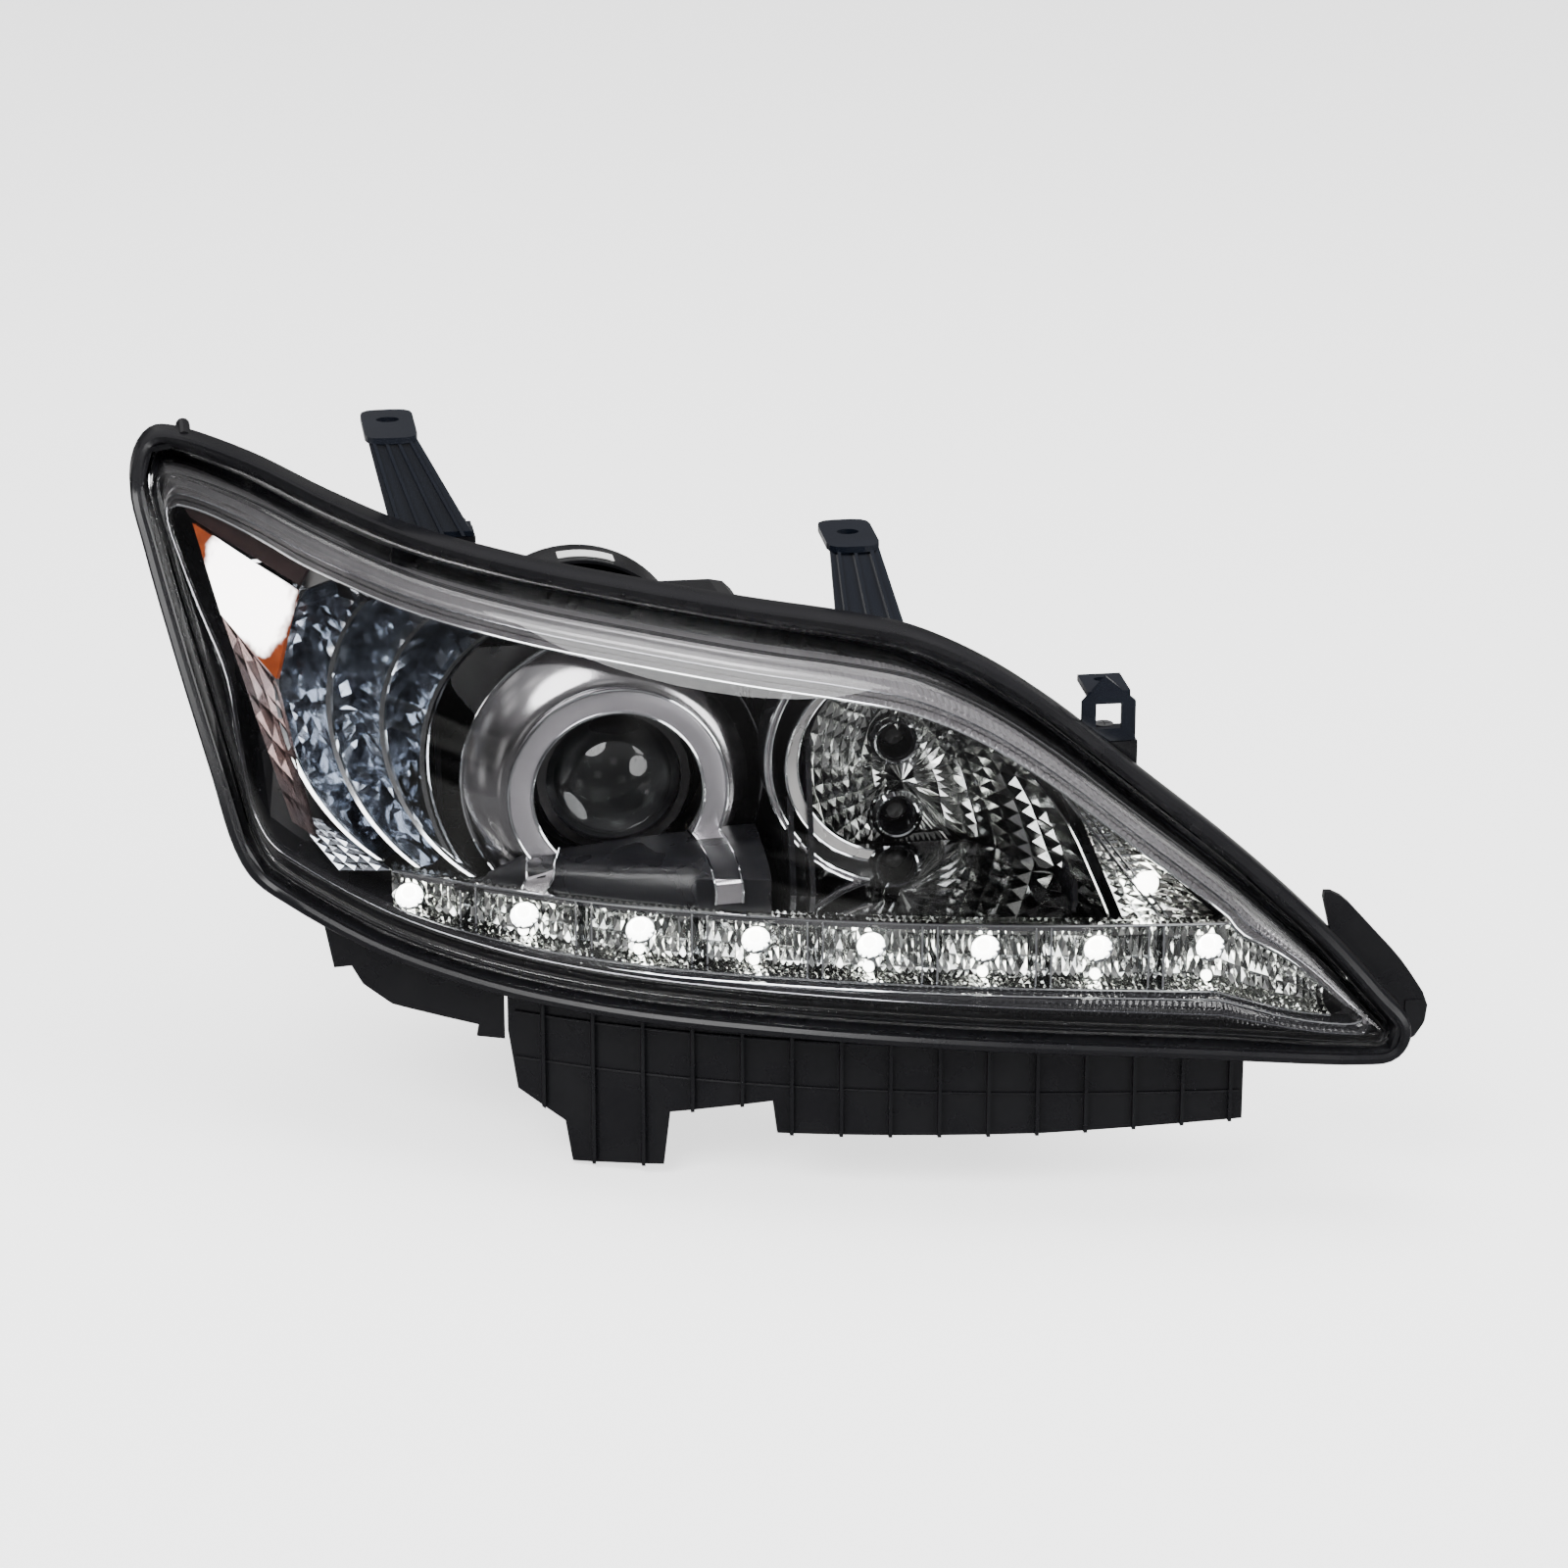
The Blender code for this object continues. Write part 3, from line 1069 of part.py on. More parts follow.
def rear_sockets(parent):
    """Bulb holders of the high beam, turn signal and side marker, with their bulbs and seal."""
    wall = HIGH_BAY_BACK
    seal_wall = 0.0014
    for name, bulb_name, axis, colour in (
            ("high_beam_holder", "high_beam_bulb", HIGH_AXIS, "glass"),
            ("turn_signal_holder", "turn_signal_bulb", TURN_AXIS, "amber_plastic")):
        origin = (axis[0], wall, axis[1])
        holder = plug(name, axis, SOCKET_BORE - GAP, SOCKET_FLANGE_R, wall,
                      GAP + seal_wall + GAP, 0.0100, wall + 0.0170)
        finish(holder, "black_plastic", parent, origin)
        seal = turned(name.replace("holder", "seal"),
                      ((SOCKET_BORE, wall + GAP), (SOCKET_BORE, wall + GAP + seal_wall),
                       (SOCKET_FLANGE_R - 0.0005, wall + GAP + seal_wall),
                       (SOCKET_FLANGE_R - 0.0005, wall + GAP)), axis)
        finish(seal, "rubber", parent, origin)
        bulb = turned(bulb_name, ((0.0, 0.0490), (0.0040, 0.0502), (0.0060, 0.0535),
                                  (0.0060, wall - 0.0083), (0.0, wall - 0.0083)), axis,
                      SMALL_STEPS)
        finish(bulb, colour, parent, origin)

    wall = MARKER_BACK
    origin = (MARKER_AXIS[0], wall, MARKER_AXIS[1])
    holder = plug("side_marker_holder", MARKER_AXIS, MARKER_R - SHELL_WALL - GAP, MARKER_R,
                  wall, GAP, 0.0080, wall + 0.0110)
    finish(holder, "black_plastic", parent, origin)
    bulb = turned("side_marker_bulb", ((0.0, 0.1480), (0.0030, 0.1488), (0.0048, 0.1515),
                                       (0.0048, wall - 0.0083), (0.0, wall - 0.0083)),
                  MARKER_AXIS, SMALL_STEPS)
    finish(bulb, "glass", parent, origin)


def rear_fittings(parent):
    """Vent caps, wiring inlet and the driver of the LED strip."""
    wall = LOW_BAY_BACK
    for number, axis in enumerate(VENT_AXES, 1):
        vent = turned("vent_cap_%d" % number,
                      ((0.0, wall - 0.0060), (VENT_BORE - GAP, wall - 0.0060),
                       (VENT_BORE - GAP, wall + GAP), (0.0080, wall + GAP),
                       (0.0080, wall + 0.0070), (0.0065, wall + 0.0085), (0.0, wall + 0.0085)),
                      axis, SMALL_STEPS)
        finish(vent, "rubber", parent)

    x, z = CONNECTOR_X, CONNECTOR_Z
    wall = HIGH_BAY_BACK
    inlet = block("connector_inlet", (x - 0.0110, wall + GAP, z - 0.0080),
                  (x + 0.0110, wall + 0.0025, z + 0.0080))
    fuse(inlet, block("shell", (x - 0.0076, wall - 0.0050, z - 0.0046),
                      (x + 0.0076, wall + 0.0190, z + 0.0046)))
    cut(inlet, block("cavity", (x - 0.0062, wall + 0.0010, z - 0.0033),
                     (x + 0.0062, wall + 0.0300, z + 0.0033)))
    fuse(inlet, *[cylinder("pin", (x + offset, z), 0.0007, wall - 0.0020, wall + 0.0120, 8)
                  for offset in (-0.0036, 0.0, 0.0036)])
    finish(inlet, "black_plastic", parent)

    top = HIGH_BAY[0][1] - GAP
    driver = block("led_driver", (0.1080, 0.0100, top - 0.0170), (0.1660, 0.0620, top))
    bevel = driver.modifiers.new("Bevel", "BEVEL")
    bevel.width = 0.0020
    bevel.segments = 2
    apply_modifiers(driver)
    finish(driver, "aluminium", parent)


def main():
    clear_scene()
    datum = bpy.data.objects.new("datum", None)
    bpy.context.scene.collection.objects.link(datum)
    datum.location = -SEAT

    housing(datum)
    outer_lens(datum)
    lens_seal(datum)
    bezel(datum)
    shelf(datum)
    projector_trim(datum)
    side_steps(datum)
    chamber(datum)
    side_marker(datum)
    led_strip(datum)
    tip_trim(datum)
    upper_bracket(datum, "outer_upper_bracket", OUTER_HEAD, OUTER_HOLE, OUTER_FOOT, 4)
    upper_bracket(datum, "inner_upper_bracket", INNER_HEAD, INNER_HOLE, INNER_FOOT, 3)
    side_bracket(datum)
    number = 0
    for foot in FEET:
        for x, y in screw_places(foot):
            number += 1
            upright_screw(datum, "bracket_screw_%d" % number, (x, y, foot[3] + FOOT_WALL + GAP))
    lower_brackets(datum)
    projector(datum)
    bulb_clip(datum)
    aiming_gear(datum)
    low_beam_cap(datum)
    rear_sockets(datum)
    rear_fittings(datum)


main()
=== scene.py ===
"""Looks of the right-hand projector headlight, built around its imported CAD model.

Pieces are made in the CAD's design axes: the origin is on the optical axis, +X inboard, +Y to the
rear of the car and +Z up. Each piece's object then stands at ORIGIN, which is read from the frame.
"""
import json
import math
import random

import bmesh
import bpy
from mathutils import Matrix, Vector
from mathutils.geometry import tessellate_polygon


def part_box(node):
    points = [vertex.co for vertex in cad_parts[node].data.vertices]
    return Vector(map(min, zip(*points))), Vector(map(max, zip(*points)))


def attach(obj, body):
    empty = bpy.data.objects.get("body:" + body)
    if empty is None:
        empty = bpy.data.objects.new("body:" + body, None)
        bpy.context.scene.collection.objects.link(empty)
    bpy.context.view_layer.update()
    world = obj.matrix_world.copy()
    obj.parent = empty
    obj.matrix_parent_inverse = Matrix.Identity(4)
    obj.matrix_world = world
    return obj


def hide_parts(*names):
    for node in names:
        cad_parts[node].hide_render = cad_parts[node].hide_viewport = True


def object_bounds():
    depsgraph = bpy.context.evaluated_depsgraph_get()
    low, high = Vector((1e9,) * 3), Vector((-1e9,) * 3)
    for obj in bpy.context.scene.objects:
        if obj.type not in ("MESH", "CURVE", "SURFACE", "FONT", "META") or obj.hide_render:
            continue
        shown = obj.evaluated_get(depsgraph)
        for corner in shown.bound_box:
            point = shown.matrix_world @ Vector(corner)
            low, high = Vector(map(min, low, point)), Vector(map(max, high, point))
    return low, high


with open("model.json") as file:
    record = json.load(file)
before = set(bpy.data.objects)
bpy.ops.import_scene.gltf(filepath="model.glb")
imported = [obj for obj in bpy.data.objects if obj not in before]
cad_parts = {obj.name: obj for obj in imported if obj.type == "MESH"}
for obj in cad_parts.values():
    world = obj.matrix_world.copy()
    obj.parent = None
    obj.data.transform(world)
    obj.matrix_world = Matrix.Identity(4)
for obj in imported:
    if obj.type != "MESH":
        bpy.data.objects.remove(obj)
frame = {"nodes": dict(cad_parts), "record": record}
CAD_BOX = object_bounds()

# ---------------------------------------------------------------- design origin in the frame
LENS_REAR_Y = 0.0330                        # rear face of the projector lens, in design axes
LOW_CORNER, HIGH_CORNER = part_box("projector_lens")
ORIGIN = Vector(((LOW_CORNER.x + HIGH_CORNER.x) / 2, HIGH_CORNER.y - LENS_REAR_Y,
                 (LOW_CORNER.z + HIGH_CORNER.z) / 2))

# ---------------------------------------------------------------- dimensions, in metres
LENS_OUTLINE = (
    (-0.207, 0.107), (-0.203, 0.116), (-0.194, 0.118), (-0.161, 0.114), (-0.126, 0.104),
    (-0.090, 0.095), (-0.040, 0.088), (0.013, 0.083), (0.062, 0.078), (0.104, 0.074),
    (0.134, 0.069), (0.164, 0.057), (0.192, 0.040), (0.228, 0.013), (0.272, -0.021),
    (0.308, -0.054), (0.332, -0.081), (0.342, -0.093), (0.340, -0.099), (0.332, -0.100),
    (0.244, -0.094), (0.156, -0.090), (0.068, -0.087), (-0.010, -0.085), (-0.062, -0.081),
    (-0.108, -0.073), (-0.146, -0.060), (-0.160, -0.053), (-0.167, -0.042), (-0.176, -0.010),
    (-0.189, 0.035), (-0.202, 0.083),
)
OUTLINE_SAMPLES = 5
SPINE = (Vector((-0.150, 0.040)), Vector((0.262, -0.058)))
TIP_X = 0.360
TIP_Y = -0.1157
SWEEP_LINEAR = 0.0435                       # how the face sweeps back from the tip
SWEEP_CUBIC = 1.057
LEAN = 1.3                                  # how it leans back with height
LEAN_BASE = -0.110
RETURN_BASE = 0.016
RETURN_TOP = 0.024
RETURN_END = 0.345                          # x by which the top's extra depth has faded out
RETURN_FADE = 0.150                         # width over which it fades
LENS_WALL = 0.0026
TURN_STEPS = 72
CORNER_SHARE = 0.48                         # most of an edge that the rounding of one corner takes
SHARP_ANGLE = 35.0                          # edges turned by more than this stay crisp, in degrees
FACETED = 0.0                               # every edge stays crisp
LINE_R = 0.0008                             # radius of the bright edge lines
SKIN = 0.0008                               # thickness of the thin trims

# Lens and the lip round it: distance inside the lens edge, and depth behind the face or the edge
LENS_TURN = (0.0010, 0.0060)
LENS_TURN_SHARE = 0.4                       # of the way from the rear edge to the face
LENS_ROWS = ((0.0016, 0.0062), (0.0026, 0.0036), (0.0042, 0.0018), (0.0064, 0.0006), (0.0090, 0.0))
LENS_SHARES = (0.2, 0.4, 0.6, 0.78, 0.92)
LIP_ROWS = ((-0.0082, 0.0108), (-0.0086, 0.0090), (-0.0086, -0.0085), (-0.0078, -0.0100),
            (-0.0058, -0.0104), (-0.0044, -0.0096), (-0.0042, -0.0040))
LIP_SKIN = 0.0006

EDGE_BEHIND = -0.0040                       # outer edge of the bezel, from the lens's rear edge
BEZEL_EDGE = 0.0096                         # bezel's outer edge inside the lens edge
LEDGE_INSET = 0.0128
LEDGE_BEHIND = 0.0082
WINDOW_INSET = 0.0140
WINDOW_INSET_TOP = 0.0060
WINDOW_INSET_LOW = 0.0190
WINDOW_BEHIND = 0.0120
FLUTE_SPACING = 0.0010
FLUTE_DEPTH = 0.0011
FLUTE_STEPS = 3                             # stations from one rib to the next
FLUTE_FADE = (0.0400, 0.1000)               # x where the ribs start, and width over which they deepen
FLUTE_LEAST = 0.12                          # share of their depth that the shallowest ribs keep
FLUTE_LEAN = (0.6, -0.8)                    # direction of the ribs: outward and forward
# Ribbed rows and grooves of the bezel, as shares of the way up its wall and across its ledge
WALL_RIBS = (0.0, 0.14, 0.30, 0.42, 0.58, 0.76, 0.86, 1.0)
WALL_GROOVES = (0.31, 0.41, 0.77, 0.85)
LEDGE_RIBS = (0.20, 0.40, 0.52, 0.76, 1.0)
LEDGE_GROOVES = (0.41, 0.51)
GROOVE_DEPTH = 0.0016
WINDOW_RETURN = (0.0010, 0.0210)            # last ring behind the window: how far in, how deep
WINDOW_LINE = (-0.0004, 0.0114, 0.0007)     # bright line round it: how far in, how deep, radius
LEDGE_LINE = (0.0, 0.0076, 0.0005)          # and the one along the ledge's outer edge
BEZEL_SKIN = 0.0010
BEZEL_SHARP = 25.0                          # angle above which an edge of the bezel stays crisp
SHELF_Z = -0.0450
BEYOND = 0.3                                # further out than any piece

# Projector; profiles list (radius, y)
LENS_R = 0.0315
LENS_VERTEX_Y = 0.0100
LENS_EDGE_Y = 0.0280
DOME_STEPS = 18
RING_OUTER = 0.0512
RING_INNER = 0.0395
RING_EDGE_Y = 0.0021
RING_PROFILE = (
    (RING_INNER + 0.0003, 0.0042), (RING_INNER, 0.0034), (RING_INNER + 0.0004, 0.0026),
    (RING_INNER + 0.0013, 0.0022), (RING_OUTER - 0.0014, 0.0022), (RING_OUTER - 0.0005, 0.0026),
    (RING_OUTER, 0.0034), (RING_OUTER, 0.0050), (0.0412, 0.0052), (0.0430, 0.0190), (0.0421, 0.0190))
CUP_DEPTH = 0.0262
CUP_RIM_R = 0.0706
CUP_RIM_ANGLES = (-39.0, 219.0)
CUP_RIM_LINE_R = 0.0011
CUP_PROFILE = (
    (0.0498, 0.0058), (0.0520, 0.0056), (0.0560, 0.0076), (0.0606, 0.0112), (0.0648, 0.0160),
    (0.0684, 0.0212), (CUP_RIM_R, CUP_DEPTH), (0.0694, CUP_DEPTH), (0.0672, 0.0216),
    (0.0636, 0.0166), (0.0594, 0.0120), (0.0550, 0.0086))

# Fins outboard of the projector: centre x, centre z, radius, depth behind the lens face
FIN_ARCS = ((-0.0100, 0.0050, 0.0755, 0.0260), (-0.0240, 0.0130, 0.0690, 0.0480),
            (-0.0355, 0.0200, 0.0675, 0.0220), (-0.0440, 0.0225, 0.0705, 0.0480),
            (-0.0510, 0.0245, 0.0755, 0.0220), (-0.0620, 0.0270, 0.0755, 0.0480),
            (-0.0720, 0.0290, 0.0775, 0.0220), (-0.0750, 0.0290, 0.0780, 0.0400))
FIN_LOW = -0.0405
FIN_HIGH = 0.0740
FIN_POINTS = 27
FIN_ROWS = 3
FIN_SCATTER = (0.0014, 0.0020, 0.0008)      # random shift of the facets' corners in x, y and z
FIN_SKIN = 0.0010
# Rows of a fin's bright edge, from the fin's own edge
FIN_EDGE = (Vector((-0.0012, -0.0014, 0.0)), Vector((-0.0034, -0.0006, 0.0)))

# Bulb chamber: its outline runs on below the shelf, which cuts it off
CHAMBER = ((0.1130, -0.0800), (0.1000, -0.0400), (0.0925, -0.0120), (0.0920, 0.0080),
           (0.0980, 0.0250), (0.1120, 0.0420), (0.1320, 0.0450), (0.1600, 0.0360),
           (0.1840, 0.0190), (0.2010, -0.0060), (0.2170, -0.0450), (0.2260, -0.0800))
CHAMBER_CENTRE = Vector((0.1380, -0.0150))
CHAMBER_BEHIND = 0.0330
CHAMBER_LEFT_Y = 0.0350                     # depth of the chamber's outboard edge
CHAMBER_BLEND = (0.1260, 0.0420)            # x from where, and width over which, it comes forward
CHAMBER_COLUMNS = 46
CHAMBER_ROWS = ((0.92, 0.95, -0.0150), (0.82, 0.90, -0.0060), (0.72, 0.84, 0.0030),
                (0.62, 0.79, 0.0140), (0.53, 0.74, 0.0260), (0.46, 0.70, 0.0380),
                (0.38, 0.60, 0.0445), (0.26, 0.42, 0.0450), (0.12, 0.19, 0.0450))
CHAMBER_ROUND = 0.0060                      # rounding of the outline's corners
CHAMBER_SLOPE = 0.0200                      # least depth from the rim to the middle
CHAMBER_SCATTER = 0.0005
CHAMBER_RISE = 0.16                         # height of a facet's peak, as a share of its size
BULB_AXES = ((0.1360, 0.0050), (0.1370, -0.0325))
BULB_HOLE_R = 0.0097
COLLAR_PROFILE = ((0.0126, 0.0452), (0.0122, 0.0430), (0.0104, 0.0416), (0.0096, 0.0420),
                  (0.0093, 0.0440), (0.0093, 0.0600), (0.0099, 0.0600), (0.0101, 0.0450))
THROAT_PROFILE = ((0.0092, 0.0432), (0.0092, 0.0620), (0.0084, 0.0620), (0.0084, 0.0432))
COLLAR_STEPS = 48

# Crescents beside the chamber, from the outboard edge in: centre x, centre z, radius, depth y
CRESCENT_ARCS = ((0.1318, 0.0159, 0.0649, -0.0070), (0.1315, 0.0158, 0.0622, -0.0074),
                 (0.1267, 0.0140, 0.0530, 0.0070), (0.1244, 0.0130, 0.0482, -0.0090),
                 (0.1277, 0.0130, 0.0455, -0.0040))
CRESCENT_TOP = 0.0620
CRESCENT_WALL = Vector((0.0, 0.0200, 0.0))
CRESCENT_POINTS = 60
STEEPEST = 0.98                             # largest sine of an angle at which a crescent ends

# Step of the shelf in front of the projector: x and height of its upper edge
STEP_LINE = ((-0.0760, -0.0435), (-0.0600, -0.0375), (-0.0450, -0.0302), (-0.0200, -0.0270),
             (0.0200, -0.0232), (0.0480, -0.0205), (0.0640, -0.0200))
STEP_REAR_Y = 0.0060
STEP_BEHIND = 0.0192
# Section of its upper face: share of the way forward, drop below the rear edge
STEP_ROUND = ((0.0, 0.0), (0.30, 0.0002), (0.60, 0.0010), (0.85, 0.0028), (1.0, 0.0060))
STEP_COLUMNS = 70
STEP_SKIN = 0.0010
STEP_SHARP = 60.0
# Painted reflection of the projector's ring on the step: bright sheets where its mirror image lies
RING_REFLECTION_RISE = 0.30                           # height lost on the view per depth on the step
RING_REFLECTION_DROP = 0.0260                         # height of the mirrored part of the ring
RING_REFLECTION_CUSP = 0.75                           # share of the radius at which the ring meets the step
RING_REFLECTION_PROUD = (0.0022, 0.0013)              # how far the painted ring reflections stand in front of and above it
RING_REFLECTION_ROWS = 24
RING_REFLECTION_SKIN = 0.0006
RING_REFLECTION_LINE_R = 0.0006

# LED strip
LED_COUNT = 8
LED_FIRST_X = -0.0960
LED_PITCH = 0.0509
LED_Z = -0.0545
STRIP_START = -0.1030
STRIP_END = 0.3160
STRIP_TOP = -0.0420
STRIP_MARGIN = 0.0012                       # strip inside the edge of the trim window
STRIP_FRONT = 0.0160
STRIP_BACK = 0.0320
STRIP_COLUMNS = 132
STRIP_FACE_Z = -0.0600                      # height at which the strip follows the lens face
STRIP_SCATTER = (-0.0012, 0.0004)           # random depth of the facets' corners, from and to
STRIP_SKIN = 0.0006
# Section of the strip: share of its height, depth behind the lens face
STRIP_PATH = ((1.0, STRIP_FRONT), (0.99, 0.0215), (0.97, 0.0270), (0.90, 0.0305),
              (0.66, STRIP_BACK), (0.34, STRIP_BACK), (0.10, 0.0305), (0.03, 0.0270),
              (0.01, 0.0215), (0.0, STRIP_FRONT))
DIVIDER_CORNERS = ((0.02, 0.0170), (0.98, 0.0170), (0.95, 0.0300), (0.05, 0.0300))
DIVIDER_OFFSET = 0.0034
DIVIDER_WALL = Vector((0.0009, 0.0, 0.0))
# Profiles of the bowls and lights: radius, y from their seat
BOWL_PROFILE = ((0.0030, -0.0062), (0.0066, -0.0128), (0.0070, -0.0128), (0.0036, -0.0058))
LED_PROFILE = ((0.0, -0.0108), (0.0018, -0.0103), (0.0031, -0.0088), (0.0035, -0.0068),
               (0.0, -0.0068))
# Painted reflections: small glowing domes below the LEDs stand in for their glints near the strip's
# lower edge
PAINTED_LED_REFLECTION_PROFILE = ((0.0, -0.0024), (0.0014, -0.0020), (0.0024, -0.0008), (0.0026, 0.0010),
                       (0.0, 0.0010))
PAINTED_LED_REFLECTION_RISE = 0.0042                   # height of the painted LED reflections above the strip's edge
PAINTED_LED_REFLECTION_BEHIND = 0.0262
TIP_BEHIND = 0.0300
TIP_LED = (0.2330, -0.0280)
TIP_LED_PROFILE = ((0.0, -0.0075), (0.0030, -0.0068), (0.0052, -0.0052), (0.0060, -0.0032),
                   (0.0, -0.0032))
TIP_BAR = (Vector((0.1965, 0.0125)), Vector((0.2400, -0.0440)))
TIP_BAR_LINES = ((0.0, 0.0009), (0.0034, 0.0006))  # x offset and radius
TIP_BAR_BEHIND = 0.0250
TIP_BAR_POINTS = 13
TIP_TEETH = 9
TIP_TOOTH_SHARES = (0.16, 0.055)            # of the bar's length: first tooth, and from one to the next
TIP_TOOTH = (0.0050, 0.0012, 0.0006)        # length, depth and half height of the first tooth

# Panels, corners clockwise from the outboard top
AMBER = ((-0.1870, 0.0940), (-0.1410, 0.0750), (-0.1520, 0.0340), (-0.1760, 0.0570))
AMBER_TOP = ((-0.1950, 0.1060), (-0.1350, 0.0850), (-0.1395, 0.0770), (-0.1880, 0.0960))
FACETS = ((-0.1755, 0.0555), (-0.1530, 0.0325), (-0.1375, -0.0355), (-0.1475, -0.0310))
CORNER_FACETS = ((-0.1465, -0.0290), (-0.1340, -0.0290), (-0.1040, -0.0450), (-0.1270, -0.0500))
FACET_SCATTER = 0.2                         # random shift of the facets' corners, in facets
TIP_PANEL = ((0.1990, 0.0150), (0.2045, 0.0105), (0.2665, -0.0450), (0.2230, -0.0450))

# Lines across the apron: height, x from and to
APRON_LINES = ((-0.1060, -0.0500, 0.2770), (-0.1290, -0.0500, 0.2770), (-0.1560, -0.0240, 0.0130))
APRON_BEHIND = 0.0283
APRON_POINTS = 40
APRON_LINE_R = 0.0007

# Cap behind the low beam; its ribs leave the top clear for the label
CAP_R = 0.0555
CAP_BACK = 0.2165
CAP_STEP = 0.0008                           # height of the ring on its face
CAP_WALL = 0.0030
CAP_SKIRT_Y = 0.1995
CAP_GRIP = ((-0.0300, -0.0060), (-0.0300, 0.0060), (0.0300, 0.0060), (0.0300, -0.0060))
CAP_GRIP_HIGH = 0.0085
CAP_GRIP_SUNK = 0.0010
CAP_GRIP_ROUND = 0.0050
CAP_GRIP_BEVEL = 0.0014
CAP_RIBS = 27
CAP_RIB_START = 142.0                       # angle of the first rib, in degrees
CAP_RIB_PITCH_R = 0.0553
CAP_RIB_R = 0.0010

# ---------------------------------------------------------------- camera, floor and lights
AZIMUTH = math.radians(-8.0)
ELEVATION = math.radians(20.0)
DISTANCE = 2.4
TARGET = Vector((0.0809, 0.0300, -0.0091))
FIELD_WIDTH = 0.736                         # width of the view at the target
SENSOR = 36.0                               # in millimetres
FLOOR_HALF = 6.0
FLOOR_GAP = 0.002

# Disk lights: name, place, diameter, watts
LIGHTS = (("key", (-1.3, -1.6, 1.9), 1.9, 95.0), ("front", (1.5, -2.0, 0.3), 1.3, 34.0),
          ("fill", (1.6, -1.2, 1.3), 1.2, 26.0), ("top", (0.0, 0.5, 2.3), 2.0, 70.0))
# Surroundings that the lamp reflects: height from straight down (0) to straight up (1), grey
SKY_TONES = ((0.0, 0.10), (0.30, 0.28), (0.40, 0.16), (0.50, 0.03), (0.62, 0.10), (0.88, 0.62))
SKY_TINT = (1.0, 0.99, 1.02)
SKY_PATCHES = ((0.08, (1.0, 1.0, 0.98, 1.0)), (0.30, (0.0, 0.0, 0.0, 1.0)))
SEEN_SKY = (2.2, 2.2, 2.2, 1.0)

# Painted highlight in the amber reflector, white emission where strong light washes out its middle:
# centre, shape, raggedness, edge and strength
PAINTED_HIGHLIGHT_CENTRE = (-0.1630, 0.1300, 0.0700)
PAINTED_HIGHLIGHT_SHAPE = (1.25, 0.15, 1.0)
PAINTED_HIGHLIGHT_RAGGED = 0.012
PAINTED_HIGHLIGHT_EDGE = (0.0335, 0.0280)
PAINTED_HIGHLIGHT_STRENGTH = 8.0

# ---------------------------------------------------------------- outline and face of the lens
def face_y(x, z):
    """Depth of the lens face at a point of the front view."""
    run = max(TIP_X - x, 0.0)
    return TIP_Y + SWEEP_LINEAR * run + SWEEP_CUBIC * run ** 3 + LEAN * (z - LEAN_BASE) ** 2


def smooth_loop(points, samples):
    """Closed centripetal Catmull-Rom curve through the points, each with (x, z)."""
    count = len(points)
    knots = [Vector(point) for point in points]
    loop = []
    for i in range(count):
        p = [knots[(i + k) % count] for k in (-1, 0, 1, 2)]
        t = [0.0]
        for k in range(3):
            t.append(t[-1] + math.sqrt((p[k + 1] - p[k]).length))
        for step in range(samples):
            at = t[1] + (t[2] - t[1]) * step / samples
            a = [p[k].lerp(p[k + 1], (at - t[k]) / (t[k + 1] - t[k])) for k in range(3)]
            b = [a[k].lerp(a[k + 1], (at - t[k]) / (t[k + 2] - t[k])) for k in range(2)]
            loop.append(b[0].lerp(b[1], (at - t[1]) / (t[2] - t[1])))
    return loop


def outward(loop):
    """Outward normal at each point of a clockwise loop."""
    normals = []
    for i, point in enumerate(loop):
        along = loop[(i + 1) % len(loop)] - loop[i - 1]
        normals.append(Vector((-along.y, along.x)).normalized())
    return normals


LOOP = smooth_loop(LENS_OUTLINE, OUTLINE_SAMPLES)
NORMALS = outward(LOOP)


def spine_point(point):
    """Nearest point of the spine."""
    along = SPINE[1] - SPINE[0]
    share = (point - SPINE[0]).dot(along) / along.length_squared
    return SPINE[0].lerp(SPINE[1], min(max(share, 0.0), 1.0))


def edge_y(i):
    """Depth of the lens's rear edge at loop point i."""
    point = LOOP[i]
    fade = min(max((RETURN_END - point.x) / RETURN_FADE, 0.0), 1.0)
    return face_y(point.x, point.y) + RETURN_BASE + RETURN_TOP * max(NORMALS[i].y, 0.0) * fade


def ring(shift, y_at):
    """Loop moved inside the lens edge by shift (outside it when negative), at depth y_at(i, x, z)."""
    points = []
    for i, point in enumerate(LOOP):
        amount = shift(i) if callable(shift) else shift
        if amount > 0:
            moved = point + (spine_point(point) - point).normalized() * amount
        else:
            moved = point - NORMALS[i] * amount
        points.append(Vector((moved.x, y_at(i, moved.x, moved.y), moved.y)))
    return points


def edge_ring(shift, behind):
    return ring(shift, lambda i, x, z: edge_y(i) + behind)


def face_ring(shift, behind):
    return ring(shift, lambda i, x, z: face_y(x, z) + behind)


def shrunk(points, share, y_at):
    """Ring drawn a share of the way to the spine."""
    result = []
    for point in points:
        flat = Vector((point.x, point.z))
        moved = flat.lerp(spine_point(flat), share)
        result.append(Vector((moved.x, y_at(moved.x, moved.y), moved.y)))
    return result


def window_shift(i):
    upward = NORMALS[i].y
    return WINDOW_INSET + WINDOW_INSET_TOP * max(upward, 0.0) \
        + WINDOW_INSET_LOW * LOOP[i].x * max(-upward, 0.0)


